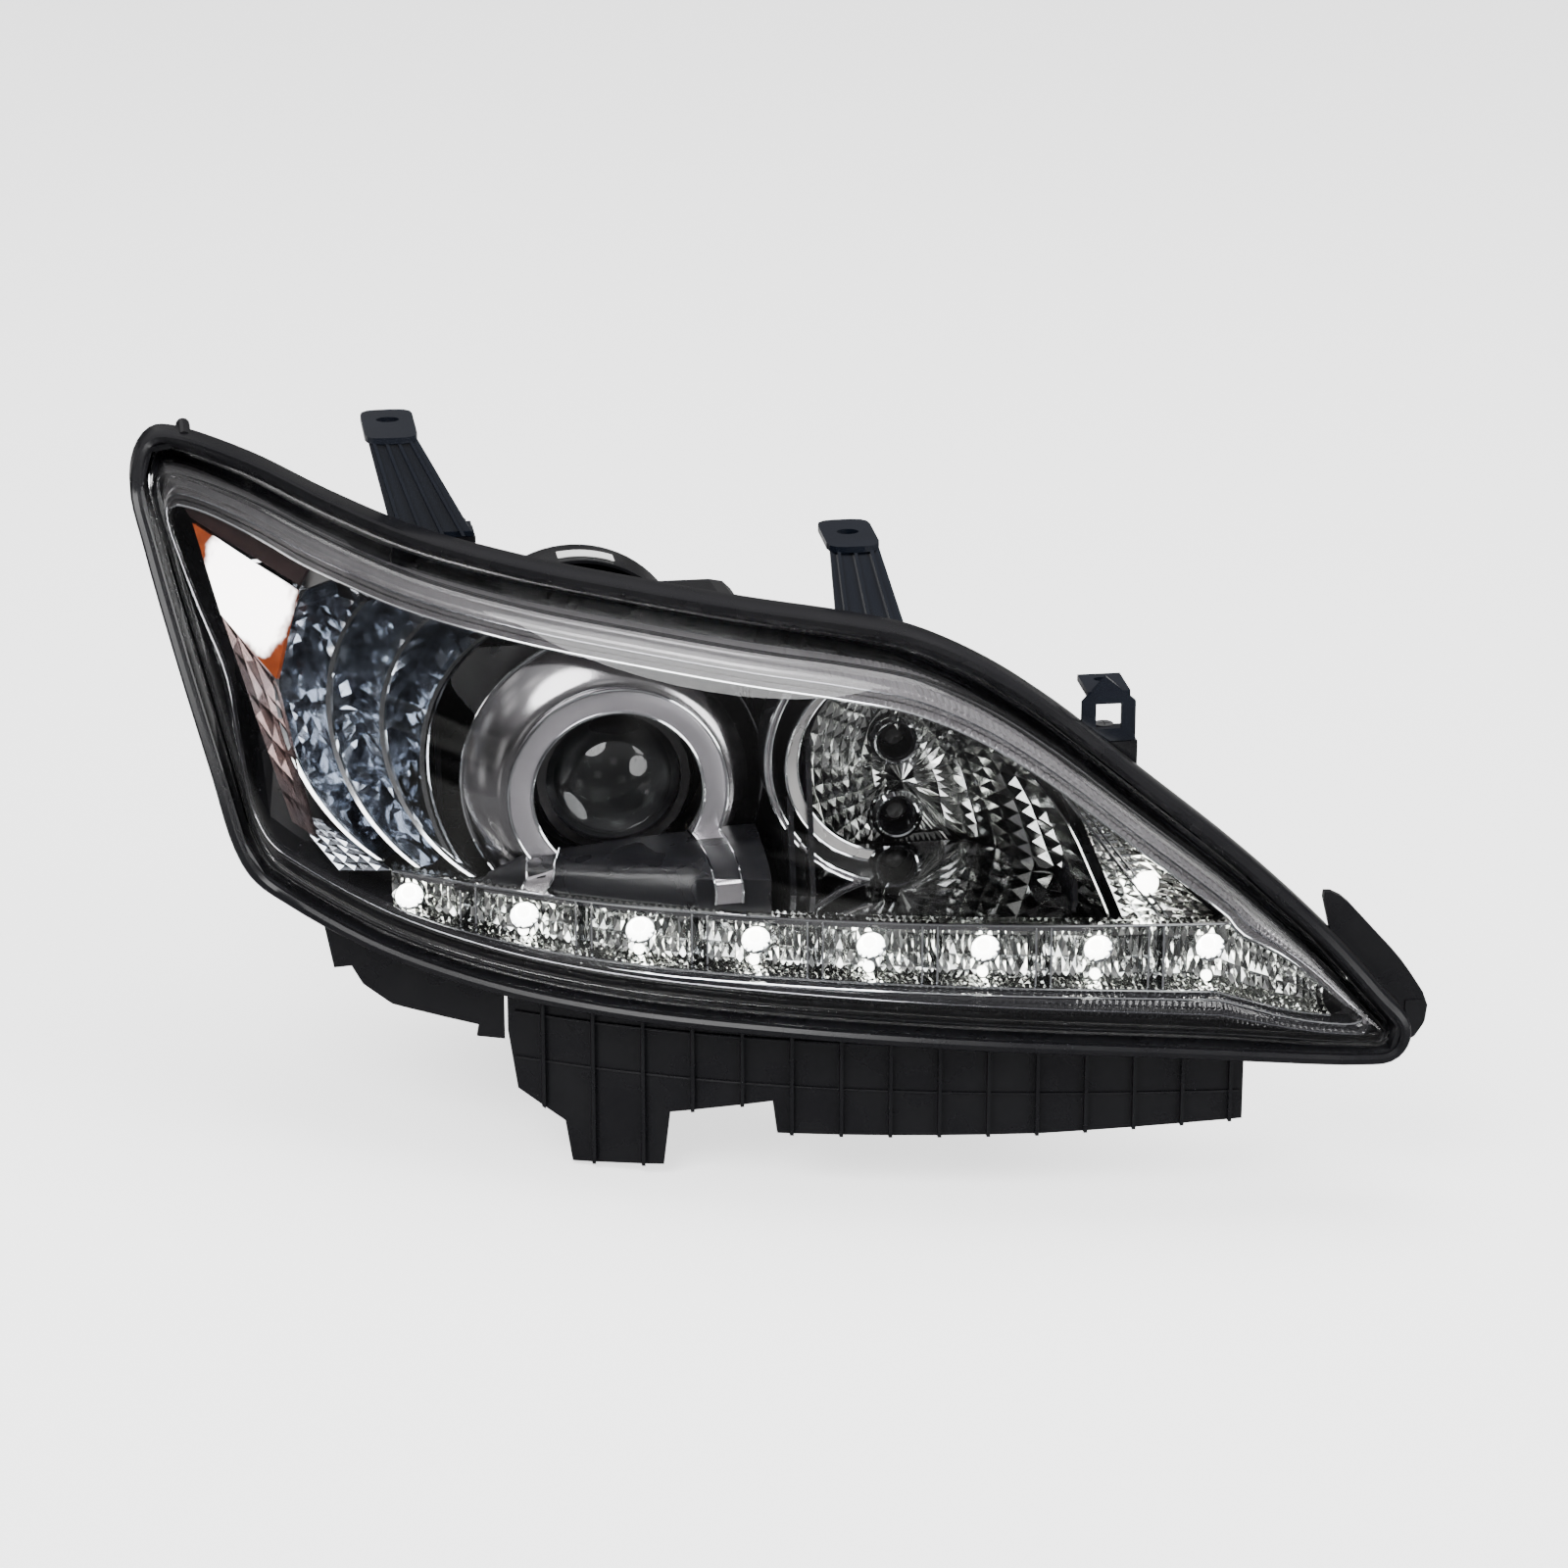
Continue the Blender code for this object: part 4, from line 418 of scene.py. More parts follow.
# ---------------------------------------------------------------- making objects
def make(name, bm, recalc=True):
    if recalc:
        bmesh.ops.recalc_face_normals(bm, faces=bm.faces)
    mesh = bpy.data.meshes.new(name)
    bm.to_mesh(mesh)
    bm.free()
    thing = bpy.data.objects.new(name, mesh)
    bpy.context.scene.collection.objects.link(thing)
    return thing


def apply_modifiers(thing):
    """Replace the object's mesh by its evaluated one."""
    bpy.context.view_layer.update()
    evaluated = thing.evaluated_get(bpy.context.evaluated_depsgraph_get())
    mesh = bpy.data.meshes.new_from_object(evaluated)
    thing.modifiers.clear()
    thing.data = mesh


def combine(target, tools, operation):
    """Union, difference or intersection of the target with each tool, which is used up."""
    for tool in tools:
        boolean = target.modifiers.new("Boolean", "BOOLEAN")
        boolean.operation = operation
        boolean.solver = "EXACT"
        boolean.object = tool
        apply_modifiers(target)
        bpy.data.objects.remove(tool, do_unlink=True)
    return target


def cut(target, *tools):
    return combine(target, tools, "DIFFERENCE")


def fuse(target, *tools):
    return combine(target, tools, "UNION")


def bevelled(thing, width, segments=2):
    bevel = thing.modifiers.new("Bevel", "BEVEL")
    bevel.width = width
    bevel.segments = segments
    bevel.limit_method = "ANGLE"
    apply_modifiers(thing)
    return thing


def sheet(name, rows, thickness=0.0, side=1, capped=False, closed_loop=True, even=True):
    """Shell through successive rows of equal length, thickened to one side (+1 or -1)."""
    bm = bmesh.new()
    verts = [[bm.verts.new(point) for point in points] for points in rows]
    count = len(verts[0])
    last = count if closed_loop else count - 1
    for row, following in zip(verts, verts[1:]):
        for i in range(last):
            j = (i + 1) % count
            bm.faces.new((row[i], following[i], following[j], row[j]))
    if capped:
        front_view = [Vector((vert.co.x, vert.co.z, 0.0)) for vert in verts[-1]]
        for a, b, c in tessellate_polygon([front_view]):
            turn = (front_view[b] - front_view[a]).cross(front_view[c] - front_view[a])
            corners = (a, b, c) if turn.z > 0.0 else (c, b, a)
            bm.faces.new([verts[-1][i] for i in corners])
    thing = make(name, bm, recalc=False)
    if thickness:
        solid = thing.modifiers.new("Solidify", "SOLIDIFY")
        solid.thickness = thickness
        solid.offset = side
        solid.use_even_offset = even
        apply_modifiers(thing)
    return thing


def turned(name, profile, centre=(0.0, 0.0), steps=TURN_STEPS):
    """Solid turned about an axis along Y. The profile lists (radius, y)."""
    bm = bmesh.new()
    rows = []
    for radius, y in profile:
        if radius == 0.0:
            rows.append([bm.verts.new((centre[0], y, centre[1]))])
            continue
        row = []
        for step in range(steps):
            angle = 2.0 * math.pi * step / steps
            row.append(bm.verts.new((centre[0] + radius * math.cos(angle), y,
                                     centre[1] + radius * math.sin(angle))))
        rows.append(row)
    pairs = list(zip(rows, rows[1:]))
    if profile[0][0] > 0.0:
        pairs.append((rows[-1], rows[0]))
    for row, following in pairs:
        for step in range(steps):
            nxt = (step + 1) % steps
            corners = [row[step % len(row)], row[nxt % len(row)],
                       following[nxt % len(following)], following[step % len(following)]]
            unique = list(dict.fromkeys(corners))
            if len(unique) > 2:
                bm.faces.new(unique)
    return make(name, bm)


def loft(name, loop_a, loop_b):
    """Closed solid between two loops of 3-D points."""
    bm = bmesh.new()
    a = [bm.verts.new(point) for point in loop_a]
    b = [bm.verts.new(point) for point in loop_b]
    bm.faces.new(a)
    bm.faces.new(list(reversed(b)))
    for i in range(len(a)):
        j = (i + 1) % len(a)
        bm.faces.new((a[j], a[i], b[i], b[j]))
    return make(name, bm)


def prism(name, outline, y_front, y_back):
    return loft(name, [(x, y_front, z) for x, z in outline], [(x, y_back, z) for x, z in outline])


def block(name, low, high):
    outline = ((low[0], low[2]), (high[0], low[2]), (high[0], high[2]), (low[0], high[2]))
    return prism(name, outline, low[1], high[1])


def rounded(outline, radius, steps=6):
    """Outline with each corner replaced by an arc-like curve."""
    points = [Vector(point) for point in outline]
    result = []
    for i, corner in enumerate(points):
        before = points[i - 1] - corner
        after = points[(i + 1) % len(points)] - corner
        reach = min(radius, before.length * CORNER_SHARE, after.length * CORNER_SHARE)
        start = corner + before.normalized() * reach
        end = corner + after.normalized() * reach
        for step in range(steps):
            t = step / (steps - 1)
            result.append(tuple(start.lerp(corner, t).lerp(corner.lerp(end, t), t)))
    return result


def wire(name, points, radius, closed=False):
    """Round moulding along a line of points."""
    curve = bpy.data.curves.new(name, "CURVE")
    curve.dimensions = "3D"
    curve.bevel_depth = radius
    curve.bevel_resolution = 2
    curve.use_fill_caps = True
    spline = curve.splines.new("POLY")
    spline.points.add(len(points) - 1)
    spline.use_cyclic_u = closed
    for spot, point in zip(points, spline.points):
        point.co = (*spot, 1.0)
    guide = bpy.data.objects.new("guide", curve)
    bpy.context.scene.collection.objects.link(guide)
    bpy.context.view_layer.update()
    evaluated = guide.evaluated_get(bpy.context.evaluated_depsgraph_get())
    bm = bmesh.new()
    bm.from_mesh(evaluated.to_mesh())
    bpy.data.objects.remove(guide, do_unlink=True)
    bmesh.ops.remove_doubles(bm, verts=bm.verts, dist=1e-6)
    return make(name, bm)


def join(name, things):
    """One object from several loose solids of the same piece."""
    bm = bmesh.new()
    for thing in things:
        bm.from_mesh(thing.data)
        bpy.data.objects.remove(thing, do_unlink=True)
    return make(name, bm, recalc=False)


def place(thing, material, body, nodes=(), smooth=SHARP_ANGLE):
    """Finish a piece: shading, material, place in the frame, body and the nodes it replaces."""
    if smooth:
        thing.data.shade_smooth()
        thing.data.set_sharp_from_angle(angle=math.radians(smooth))
    else:
        thing.data.shade_flat()
    thing.data.materials.clear()
    thing.data.materials.append(material)
    thing.location = ORIGIN
    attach(thing, body)
    if nodes:
        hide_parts(*nodes)
    return thing


# ---------------------------------------------------------------- materials
def add_node(tree, kind, values=None, **settings):
    """New shader node: a value that is another node's output is linked, any other is set."""
    node = tree.nodes.new("ShaderNode" + kind)
    for setting, value in settings.items():
        setattr(node, setting, value)
    for socket, value in (values or {}).items():
        if isinstance(value, bpy.types.NodeSocket):
            tree.links.new(value, node.inputs[socket])
        else:
            node.inputs[socket].default_value = value
    return node


def surface(name, colour, worn, roughness, metallic=0.0, grain=600.0, depth=0.0, patchy=40.0,
            spread=0.06, **sockets):
    """Procedural material: two tones mixed by soft noise, uneven roughness and a fine grain."""
    material = bpy.data.materials.new(name)
    material.use_nodes = True
    tree = material.node_tree
    shader = tree.nodes["Principled BSDF"]
    shader.inputs["Metallic"].default_value = metallic
    shader.inputs["Roughness"].default_value = roughness
    where = add_node(tree, "TexCoord").outputs["Object"]
    clouds = add_node(tree, "TexNoise", {"Vector": where, "Scale": patchy, "Detail": 4.0})
    cloud = clouds.outputs["Fac"]
    tones = add_node(tree, "Mix", {"Factor": cloud, "A": (*colour, 1.0), "B": (*worn, 1.0)},
                     data_type="RGBA")
    tree.links.new(tones.outputs["Result"], shader.inputs["Base Color"])
    if spread:
        rough = add_node(tree, "MapRange", {"Value": cloud, "To Min": max(roughness - spread, 0.0),
                                            "To Max": roughness + spread})
        tree.links.new(rough.outputs["Result"], shader.inputs["Roughness"])
    if depth:
        fine = add_node(tree, "TexNoise", {"Vector": where, "Scale": grain, "Detail": 3.0})
        bump = add_node(tree, "Bump", {"Height": fine.outputs["Fac"], "Strength": 0.5,
                                       "Distance": depth})
        tree.links.new(bump.outputs["Normal"], shader.inputs["Normal"])
    for socket, value in sockets.items():
        shader.inputs[socket.replace("_", " ")].default_value = value
    return material


def painted_shade_outboard(material):
    """Darken a material towards the outboard end of the lamp: painted shade."""
    tree = material.node_tree
    socket = tree.nodes["Principled BSDF"].inputs["Base Color"]
    where = add_node(tree, "TexCoord").outputs["Object"]
    across = add_node(tree, "SeparateXYZ", {"Vector": where})
    fade = add_node(tree, "MapRange", {"Value": across.outputs["X"], "From Min": -0.190,
                                       "From Max": 0.060, "To Min": 0.22})
    darker = add_node(tree, "Mix", {"Factor": 1.0, "A": socket.links[0].from_socket,
                                    "B": fade.outputs["Result"]},
                      data_type="RGBA", blend_type="MULTIPLY")
    tree.links.new(darker.outputs["Result"], socket)


def amber_plate_with_painted_highlight():
    """Amber reflector whose middle is washed out by strong light, painted as a white emitted highlight.
    """
    material = surface("amber_plate", (0.24, 0.045, 0.010), (0.06, 0.012, 0.006), 0.14, patchy=60.0,
                       Emission_Color=(1.0, 0.98, 0.97, 1.0))
    tree = material.node_tree
    # Painted highlight: a ragged oval in the plate's middle emits white, standing in for strong light
    where = add_node(tree, "TexCoord").outputs["Object"]
    wobble = add_node(tree, "TexNoise", {"Vector": where, "Scale": 110.0})
    offset = add_node(tree, "VectorMath", {0: where, 1: PAINTED_HIGHLIGHT_CENTRE}, operation="SUBTRACT")
    squeeze = add_node(tree, "VectorMath", {0: offset.outputs["Vector"], 1: PAINTED_HIGHLIGHT_SHAPE},
                       operation="MULTIPLY")
    length = add_node(tree, "VectorMath", {0: squeeze.outputs["Vector"]}, operation="LENGTH")
    ragged = add_node(tree, "Math", {0: wobble.outputs["Fac"], 1: PAINTED_HIGHLIGHT_RAGGED,
                                     2: length.outputs["Value"]}, operation="MULTIPLY_ADD")
    emissive = add_node(tree, "MapRange", {"Value": ragged.outputs["Value"], "From Min": PAINTED_HIGHLIGHT_EDGE[0],
                                       "From Max": PAINTED_HIGHLIGHT_EDGE[1]}, interpolation_type="SMOOTHSTEP")
    strength = add_node(tree, "Math", {0: emissive.outputs["Result"], 1: PAINTED_HIGHLIGHT_STRENGTH},
                        operation="MULTIPLY")
    shader = tree.nodes["Principled BSDF"]
    tree.links.new(strength.outputs["Value"], shader.inputs["Emission Strength"])
    return material


HOUSING = surface("housing_plastic", (0.003, 0.003, 0.004), (0.007, 0.007, 0.008), 0.28,
                  grain=1400.0, depth=0.00006, Specular_IOR_Level=0.30)
# Bulb glass tinted nearly black: painted shade of the dark necks the bulbs sit in
BULB_GLASS_PAINTED_SHADE = surface("bulb_glass", (0.05, 0.05, 0.05), (0.03, 0.03, 0.03), 0.05, spread=0.02,
                     Specular_IOR_Level=0.2)
BRACKET = surface("bracket_plastic", (0.003, 0.004, 0.007), (0.005, 0.007, 0.012), 0.20,
                  grain=1200.0, depth=0.00004, Specular_IOR_Level=0.42)
PALE = surface("pale_satin", (0.30, 0.29, 0.29), (0.52, 0.51, 0.50), 0.28, 0.55, patchy=35.0,
               spread=0.08)
# Satin of the crescent's bright line, and of the sheets that paint the ring's reflection on the step
SATIN_LINE_AND_RING_REFLECTION = surface("satin_line_and_ring_reflection", (0.34, 0.32, 0.34), (0.46, 0.44, 0.46), 0.22, 0.9, spread=0.05)
CLEAR = surface("clear_lens", (1.0, 1.0, 1.0), (0.985, 0.99, 0.99), 0.0, spread=0.0,
                Transmission_Weight=1.0, IOR=1.30)
CHROME = surface("chrome", (0.62, 0.64, 0.66), (0.70, 0.71, 0.72), 0.08, 1.0, spread=0.03)
DARK_CHROME = surface("dark_chrome", (0.16, 0.16, 0.17), (0.22, 0.22, 0.24), 0.12, 1.0,
                      spread=0.04)
FIN_CHROME = surface("fin_chrome", (0.30, 0.32, 0.36), (0.52, 0.55, 0.60), 0.14, 1.0,
                     patchy=90.0, spread=0.06)
MOSAIC = surface("mosaic_chrome", (0.46, 0.47, 0.46), (0.74, 0.75, 0.72), 0.09, 1.0,
                 patchy=120.0, spread=0.03)
CUP = surface("cup_chrome", (0.30, 0.29, 0.30), (0.40, 0.39, 0.40), 0.17, 1.0, patchy=22.0,
              spread=0.05)
SMOKED = surface("smoked_trim", (0.20, 0.19, 0.20), (0.28, 0.27, 0.28), 0.34, 0.75, patchy=70.0,
                 spread=0.07)
# Painted shade: the smoked trim darkens towards the outboard end
painted_shade_outboard(SMOKED)
SATIN = surface("satin_ring", (0.42, 0.40, 0.43), (0.58, 0.56, 0.59), 0.24, 0.9, patchy=28.0,
                spread=0.07)
GLOSS = surface("gloss_black", (0.006, 0.006, 0.007), (0.011, 0.011, 0.012), 0.07, spread=0.02)
SHELF = surface("shelf_chrome", (0.34, 0.34, 0.35), (0.40, 0.40, 0.41), 0.035, 1.0, spread=0.015)
# Dark metal of the projector's inner parts; on the bowl and shield it is painted shade that keeps the
# view through the lens dark
DARK_METAL = surface("dark_metal", (0.05, 0.05, 0.05), (0.09, 0.09, 0.09), 0.30, 1.0,
                     grain=900.0, depth=0.00004, spread=0.08)
RUBBER = surface("rubber", (0.012, 0.012, 0.012), (0.022, 0.022, 0.022), 0.72, grain=900.0,
                 depth=0.0001)
STEEL = surface("steel", (0.42, 0.43, 0.44), (0.55, 0.55, 0.54), 0.30, 1.0, grain=1500.0,
                depth=0.00003, spread=0.10)
ALUMINIUM = surface("aluminium", (0.50, 0.51, 0.52), (0.60, 0.60, 0.61), 0.34, 1.0, grain=900.0,
                    depth=0.00006, spread=0.08)
NYLON = surface("nylon", (0.68, 0.66, 0.58), (0.76, 0.74, 0.68), 0.45, grain=900.0, depth=0.00005)
BOARD = surface("circuit_board", (0.70, 0.72, 0.70), (0.80, 0.81, 0.79), 0.45, patchy=300.0)
LABEL = surface("label", (0.80, 0.80, 0.78), (0.72, 0.72, 0.70), 0.55, patchy=200.0)
GLASS = surface("lamp_glass", (1.0, 1.0, 1.0), (0.97, 0.98, 0.98), 0.004, spread=0.004,
                Transmission_Weight=1.0, IOR=1.50)
# Glass tinted a little grey: painted shade that darkens the view into the projector
LENS_GLASS = surface("projector_glass", (0.80, 0.82, 0.84), (0.86, 0.87, 0.88), 0.004,
                     spread=0.004, Transmission_Weight=1.0, IOR=1.50)
AMBER_GLASS = surface("amber_glass", (0.20, 0.05, 0.005), (0.14, 0.03, 0.003), 0.02, spread=0.01,
                      Transmission_Weight=0.9, IOR=1.50)
BROWN = surface("brown_gloss", (0.006, 0.004, 0.004), (0.012, 0.005, 0.005), 0.30, spread=0.06,
                Specular_IOR_Level=0.3)
TINTED = surface("tinted_facets", (0.12, 0.12, 0.13), (0.11, 0.055, 0.045), 0.18, 0.9,
                 patchy=55.0, spread=0.04)
LED_LIGHT = surface("led_light", (1.0, 1.0, 0.96), (1.0, 0.98, 0.90), 0.30,
                    Emission_Color=(1.0, 0.99, 0.93, 1.0), Emission_Strength=60.0)
AMBER_PLATE_PAINTED_HIGHLIGHT = amber_plate_with_painted_highlight()


# ---------------------------------------------------------------- camera, floor and lights
def set_camera():
    back = Vector((math.sin(AZIMUTH) * math.cos(ELEVATION),
                   -math.cos(AZIMUTH) * math.cos(ELEVATION), math.sin(ELEVATION)))
    data = bpy.data.cameras.new("camera")
    data.sensor_width = SENSOR
    data.lens = SENSOR * DISTANCE / FIELD_WIDTH
    camera = bpy.data.objects.new("camera", data)
    bpy.context.scene.collection.objects.link(camera)
    camera.location = ORIGIN + TARGET + back * DISTANCE
    camera.rotation_euler = (-back).to_track_quat("-Z", "Y").to_euler()
    bpy.context.scene.camera = camera


def set_floor():
    """Pale floor that glows a little, and that the lamp neither reflects nor refracts."""
    z = CAD_BOX[0][2] - FLOOR_GAP
    bm = bmesh.new()
    bm.faces.new([bm.verts.new((x * FLOOR_HALF, y * FLOOR_HALF, z))
                  for x, y in ((-1, -1), (1, -1), (1, 1), (-1, 1))])
    floor = make("floor", bm)
    paper = surface("floor_paper", (0.88, 0.88, 0.88), (0.91, 0.91, 0.91), 0.9, patchy=2.0,
                    Emission_Color=(1.0, 1.0, 1.0, 1.0), Emission_Strength=1.6)
    floor.data.materials.append(paper)
    floor.visible_glossy = False
    floor.visible_transmission = False


def fill_ramp(ramp, stops):
    """Give a new colour ramp its stops, as (position, colour)."""
    elements = ramp.color_ramp.elements
    for number, (position, colour) in enumerate(stops):
        stop = elements[number] if number < 2 else elements.new(position)
        stop.position = position
        stop.color = colour


def set_world():
    """White to the camera, and to reflections a graded studio with soft bright patches."""
    world = bpy.data.worlds.new("studio")
    bpy.context.scene.world = world
    world.use_nodes = True
    tree = world.node_tree
    where = add_node(tree, "TexCoord").outputs["Generated"]
    split = add_node(tree, "SeparateXYZ", {"Vector": where})
    height = add_node(tree, "MapRange", {"Value": split.outputs["Z"], "From Min": -1.0})
    sky = add_node(tree, "ValToRGB", {"Fac": height.outputs["Result"]})
    fill_ramp(sky, [(position, (*(grey * tint for tint in SKY_TINT), 1.0))
                    for position, grey in SKY_TONES])
    boxes = add_node(tree, "TexVoronoi", {"Vector": where, "Scale": 2.6}, distance="CHEBYCHEV")
    patches = add_node(tree, "ValToRGB", {"Fac": boxes.outputs["Distance"]})
    fill_ramp(patches, SKY_PATCHES)
    reflected = add_node(tree, "Mix", {"Factor": 0.9, "A": sky.outputs["Color"],
                                       "B": patches.outputs["Color"]},
                         data_type="RGBA", blend_type="ADD")
    rays = add_node(tree, "LightPath")
    shown = add_node(tree, "Mix", {"Factor": rays.outputs["Is Camera Ray"],
                                   "A": reflected.outputs["Result"], "B": SEEN_SKY},
                     data_type="RGBA")
    background = tree.nodes["Background"]
    background.inputs["Strength"].default_value = 1.0
    tree.links.new(shown.outputs["Result"], background.inputs["Color"])


def set_lights():
    for name, position, diameter, watts in LIGHTS:
        lamp = bpy.data.lights.new(name, "AREA")
        lamp.shape = "DISK"
        lamp.size = diameter
        lamp.energy = watts
        thing = bpy.data.objects.new(name, lamp)
        bpy.context.scene.collection.objects.link(thing)
        thing.location = position
        thing.visible_glossy = name != "top"
        thing.rotation_euler = (-Vector(position)).to_track_quat("-Z", "Y").to_euler()


# ---------------------------------------------------------------- trims
def bright(thing, material, smooth=SHARP_ANGLE, nodes=()):
    """Finish a bright trim piece that belongs to the lamp's body."""
    place(thing, material, "lamp_body", nodes, smooth)


def bright_line(name, points, radius=LINE_R):
    bright(wire(name, points, radius), CHROME)


# ---------------------------------------------------------------- lens, lip and frame
def lens_cover():
    """Clear cover: a rear wall that turns over a rounded edge into the swept face."""
    inset, behind = LENS_TURN

    def turn_depth(i, x, z):
        return edge_y(i) * (1.0 - LENS_TURN_SHARE) + (face_y(x, z) + behind) * LENS_TURN_SHARE
    rings = [edge_ring(0.0, 0.0), ring(inset, turn_depth)]
    rings += [face_ring(*row) for row in LENS_ROWS]
    rings += [shrunk(rings[-1], share, face_y) for share in LENS_SHARES]
    lens = sheet("lens_cover", rings, LENS_WALL, -1, capped=True, even=False)
    place(lens, CLEAR, "lamp_body", ("outer_lens",))
    lens.visible_shadow = False


def lip_cover():
    """Smooth outer wall of the glue channel, over the housing's own edge."""
    lip = sheet("lip_cover", [edge_ring(*row) for row in LIP_ROWS], LIP_SKIN, 1, even=False)
    place(lip, HOUSING, "lamp_body")


def fine_stations():
    """Places along the outline a fixed distance apart, as (index, share of the way to the next)."""
    stations = []
    travelled = 0.0
    for i, point in enumerate(LOOP):
        length = (LOOP[(i + 1) % len(LOOP)] - point).length
        while travelled < length:
            stations.append((i, travelled / length))
            travelled += FLUTE_SPACING
        travelled -= length
    return stations[:len(stations) // FLUTE_STEPS * FLUTE_STEPS]


STATIONS = fine_stations()
WINDOW = face_ring(window_shift, WINDOW_BEHIND)
TIP_INDEX = max(range(len(LOOP)), key=lambda i: LOOP[i].x)


def fluted(row, depth=FLUTE_DEPTH):
    """Row round the outline with fine cross ribs."""
    start, width = FLUTE_FADE
    sideways, forward = FLUTE_LEAN
    fine = []
    for k, (i, share) in enumerate(STATIONS):
        grown = min(max((row[i].x - start) / width, FLUTE_LEAST), 1.0) * min(k % FLUTE_STEPS, 1)
        rise = Vector((NORMALS[i].x * sideways, forward, NORMALS[i].y * sideways))
        fine.append(row[i].lerp(row[(i + 1) % len(row)], share) + rise * depth * grown)
    return fine


def bezel_wall(share, inset=0.0):
    """Ring on the bezel's outer wall, a share of the way from its rear edge to the ledge."""
    def depth(i, x, z):
        return (edge_y(i) + EDGE_BEHIND) * (1.0 - share) + (face_y(x, z) + LEDGE_BEHIND) * share
    return ring(BEZEL_EDGE + (LEDGE_INSET - BEZEL_EDGE) * share + inset, depth)


def ledge(share, sink=0.0):
    """Ring on the bezel's ledge, a share of the way from its outer edge to the window."""
    return face_ring(lambda i: LEDGE_INSET + (window_shift(i) - LEDGE_INSET) * share,
                     LEDGE_BEHIND + (WINDOW_BEHIND - LEDGE_BEHIND) * share + sink)


def frame_bezel():
    """Smoked frame behind the lens: four ribbed bands with grooves between, and two fine lines."""
    rows = []
    for track, ribs, grooves in ((bezel_wall, WALL_RIBS, WALL_GROOVES),
                                 (ledge, LEDGE_RIBS, LEDGE_GROOVES)):
        for share in sorted(ribs + grooves):
            if share in grooves:
                rows.append(fluted(track(share, GROOVE_DEPTH), 0.0))
            else:
                rows.append(fluted(track(share)))
    inset, behind = WINDOW_RETURN
    rows.append(fluted(face_ring(lambda i: window_shift(i) + inset, behind), 0.0))
    split = sum(1 for i, _ in STATIONS if i < TIP_INDEX)
    for name, part, material, nodes in (
            ("frame_bezel", [row[:split + 1] for row in rows], SMOKED, ("bezel",)),
            ("frame_bezel_lower", [row[split:] + row[:1] for row in rows], GLOSS, ())):
        band = sheet(name, part, BEZEL_SKIN, -1, closed_loop=False, even=False)
        place(band, material, "lamp_body", nodes, BEZEL_SHARP)
    inset, behind, radius = WINDOW_LINE
    edge = face_ring(lambda i: window_shift(i) + inset, behind)
    bright(wire("window_line", edge, radius, closed=True), CHROME)
    inset, behind, radius = LEDGE_LINE
    edge = face_ring(LEDGE_INSET + inset, behind)
    bright(wire("ledge_line", edge, radius, closed=True), DARK_CHROME)


# ---------------------------------------------------------------- projector
def below_shelf():
    """Block larger than any piece, with its top just above the shelf's face."""
    return block("below", (-BEYOND, -BEYOND, -BEYOND), (BEYOND, BEYOND, SHELF_Z + 0.0003))


def arc_points(centre, radius, y, low, high, count=90):
    """Points of an arc in the front view, between two angles in degrees."""
    points = []
    for k in range(count):
        angle = math.radians(low + (high - low) * k / (count - 1))
        points.append(Vector((centre[0] + radius * math.cos(angle), y,
                              centre[1] + radius * math.sin(angle))))
    return points


def projector_front():
    """Cup, its bright rim, the flat ring and the glass of the low-beam projector."""
    cup = cut(turned("projector_cup", CUP_PROFILE), below_shelf())
    place(cup, CUP, "lamp_body", ("projector_shroud",))
    rim = arc_points((0.0, 0.0), CUP_RIM_R, CUP_DEPTH - 0.0004, *CUP_RIM_ANGLES)
    bright_line("cup_rim", rim, CUP_RIM_LINE_R)

    flat = cut(turned("flat_ring", RING_PROFILE), below_shelf())
    bright(flat, SATIN, nodes=("trim_ring",))
    for name, radius in (("ring_edge_outer", RING_OUTER - 0.0004),
                         ("ring_edge_inner", RING_INNER + 0.0004)):
        low = math.degrees(math.asin(max((SHELF_Z + LINE_R) / radius, -1.0)))
        bright_line(name, arc_points((0.0, 0.0), radius, RING_EDGE_Y, low, 180.0 - low))

    sagitta = LENS_EDGE_Y - LENS_VERTEX_Y
    sphere = (LENS_R ** 2 + sagitta ** 2) / (2.0 * sagitta)
    dome = []
    for k in range(DOME_STEPS + 1):
        radius = LENS_R * math.sin(math.pi / 2 * k / DOME_STEPS)
        dome.append((radius, LENS_VERTEX_Y + sphere - math.sqrt(sphere ** 2 - radius ** 2)))
    glass = turned("projector_glass", (*dome, (LENS_R, LENS_REAR_Y), (0.0, LENS_REAR_Y)))
    place(glass, LENS_GLASS, "projector", ("projector_lens",))


# ---------------------------------------------------------------- fins beside the projector
def fin_arc(centre_x, centre_z, radius, behind):
    """Outboard arc of a fin, from its lower to its upper end."""
    low = math.asin((FIN_LOW - centre_z) / radius)
    high = math.asin((FIN_HIGH - centre_z) / radius)
    points = []
    for k in range(FIN_POINTS):
        angle = low + (high - low) * k / (FIN_POINTS - 1)
        x = centre_x - radius * math.cos(angle)
        z = centre_z + radius * math.sin(angle)
        points.append(Vector((x, face_y(x, z) + behind, z)))
    return points


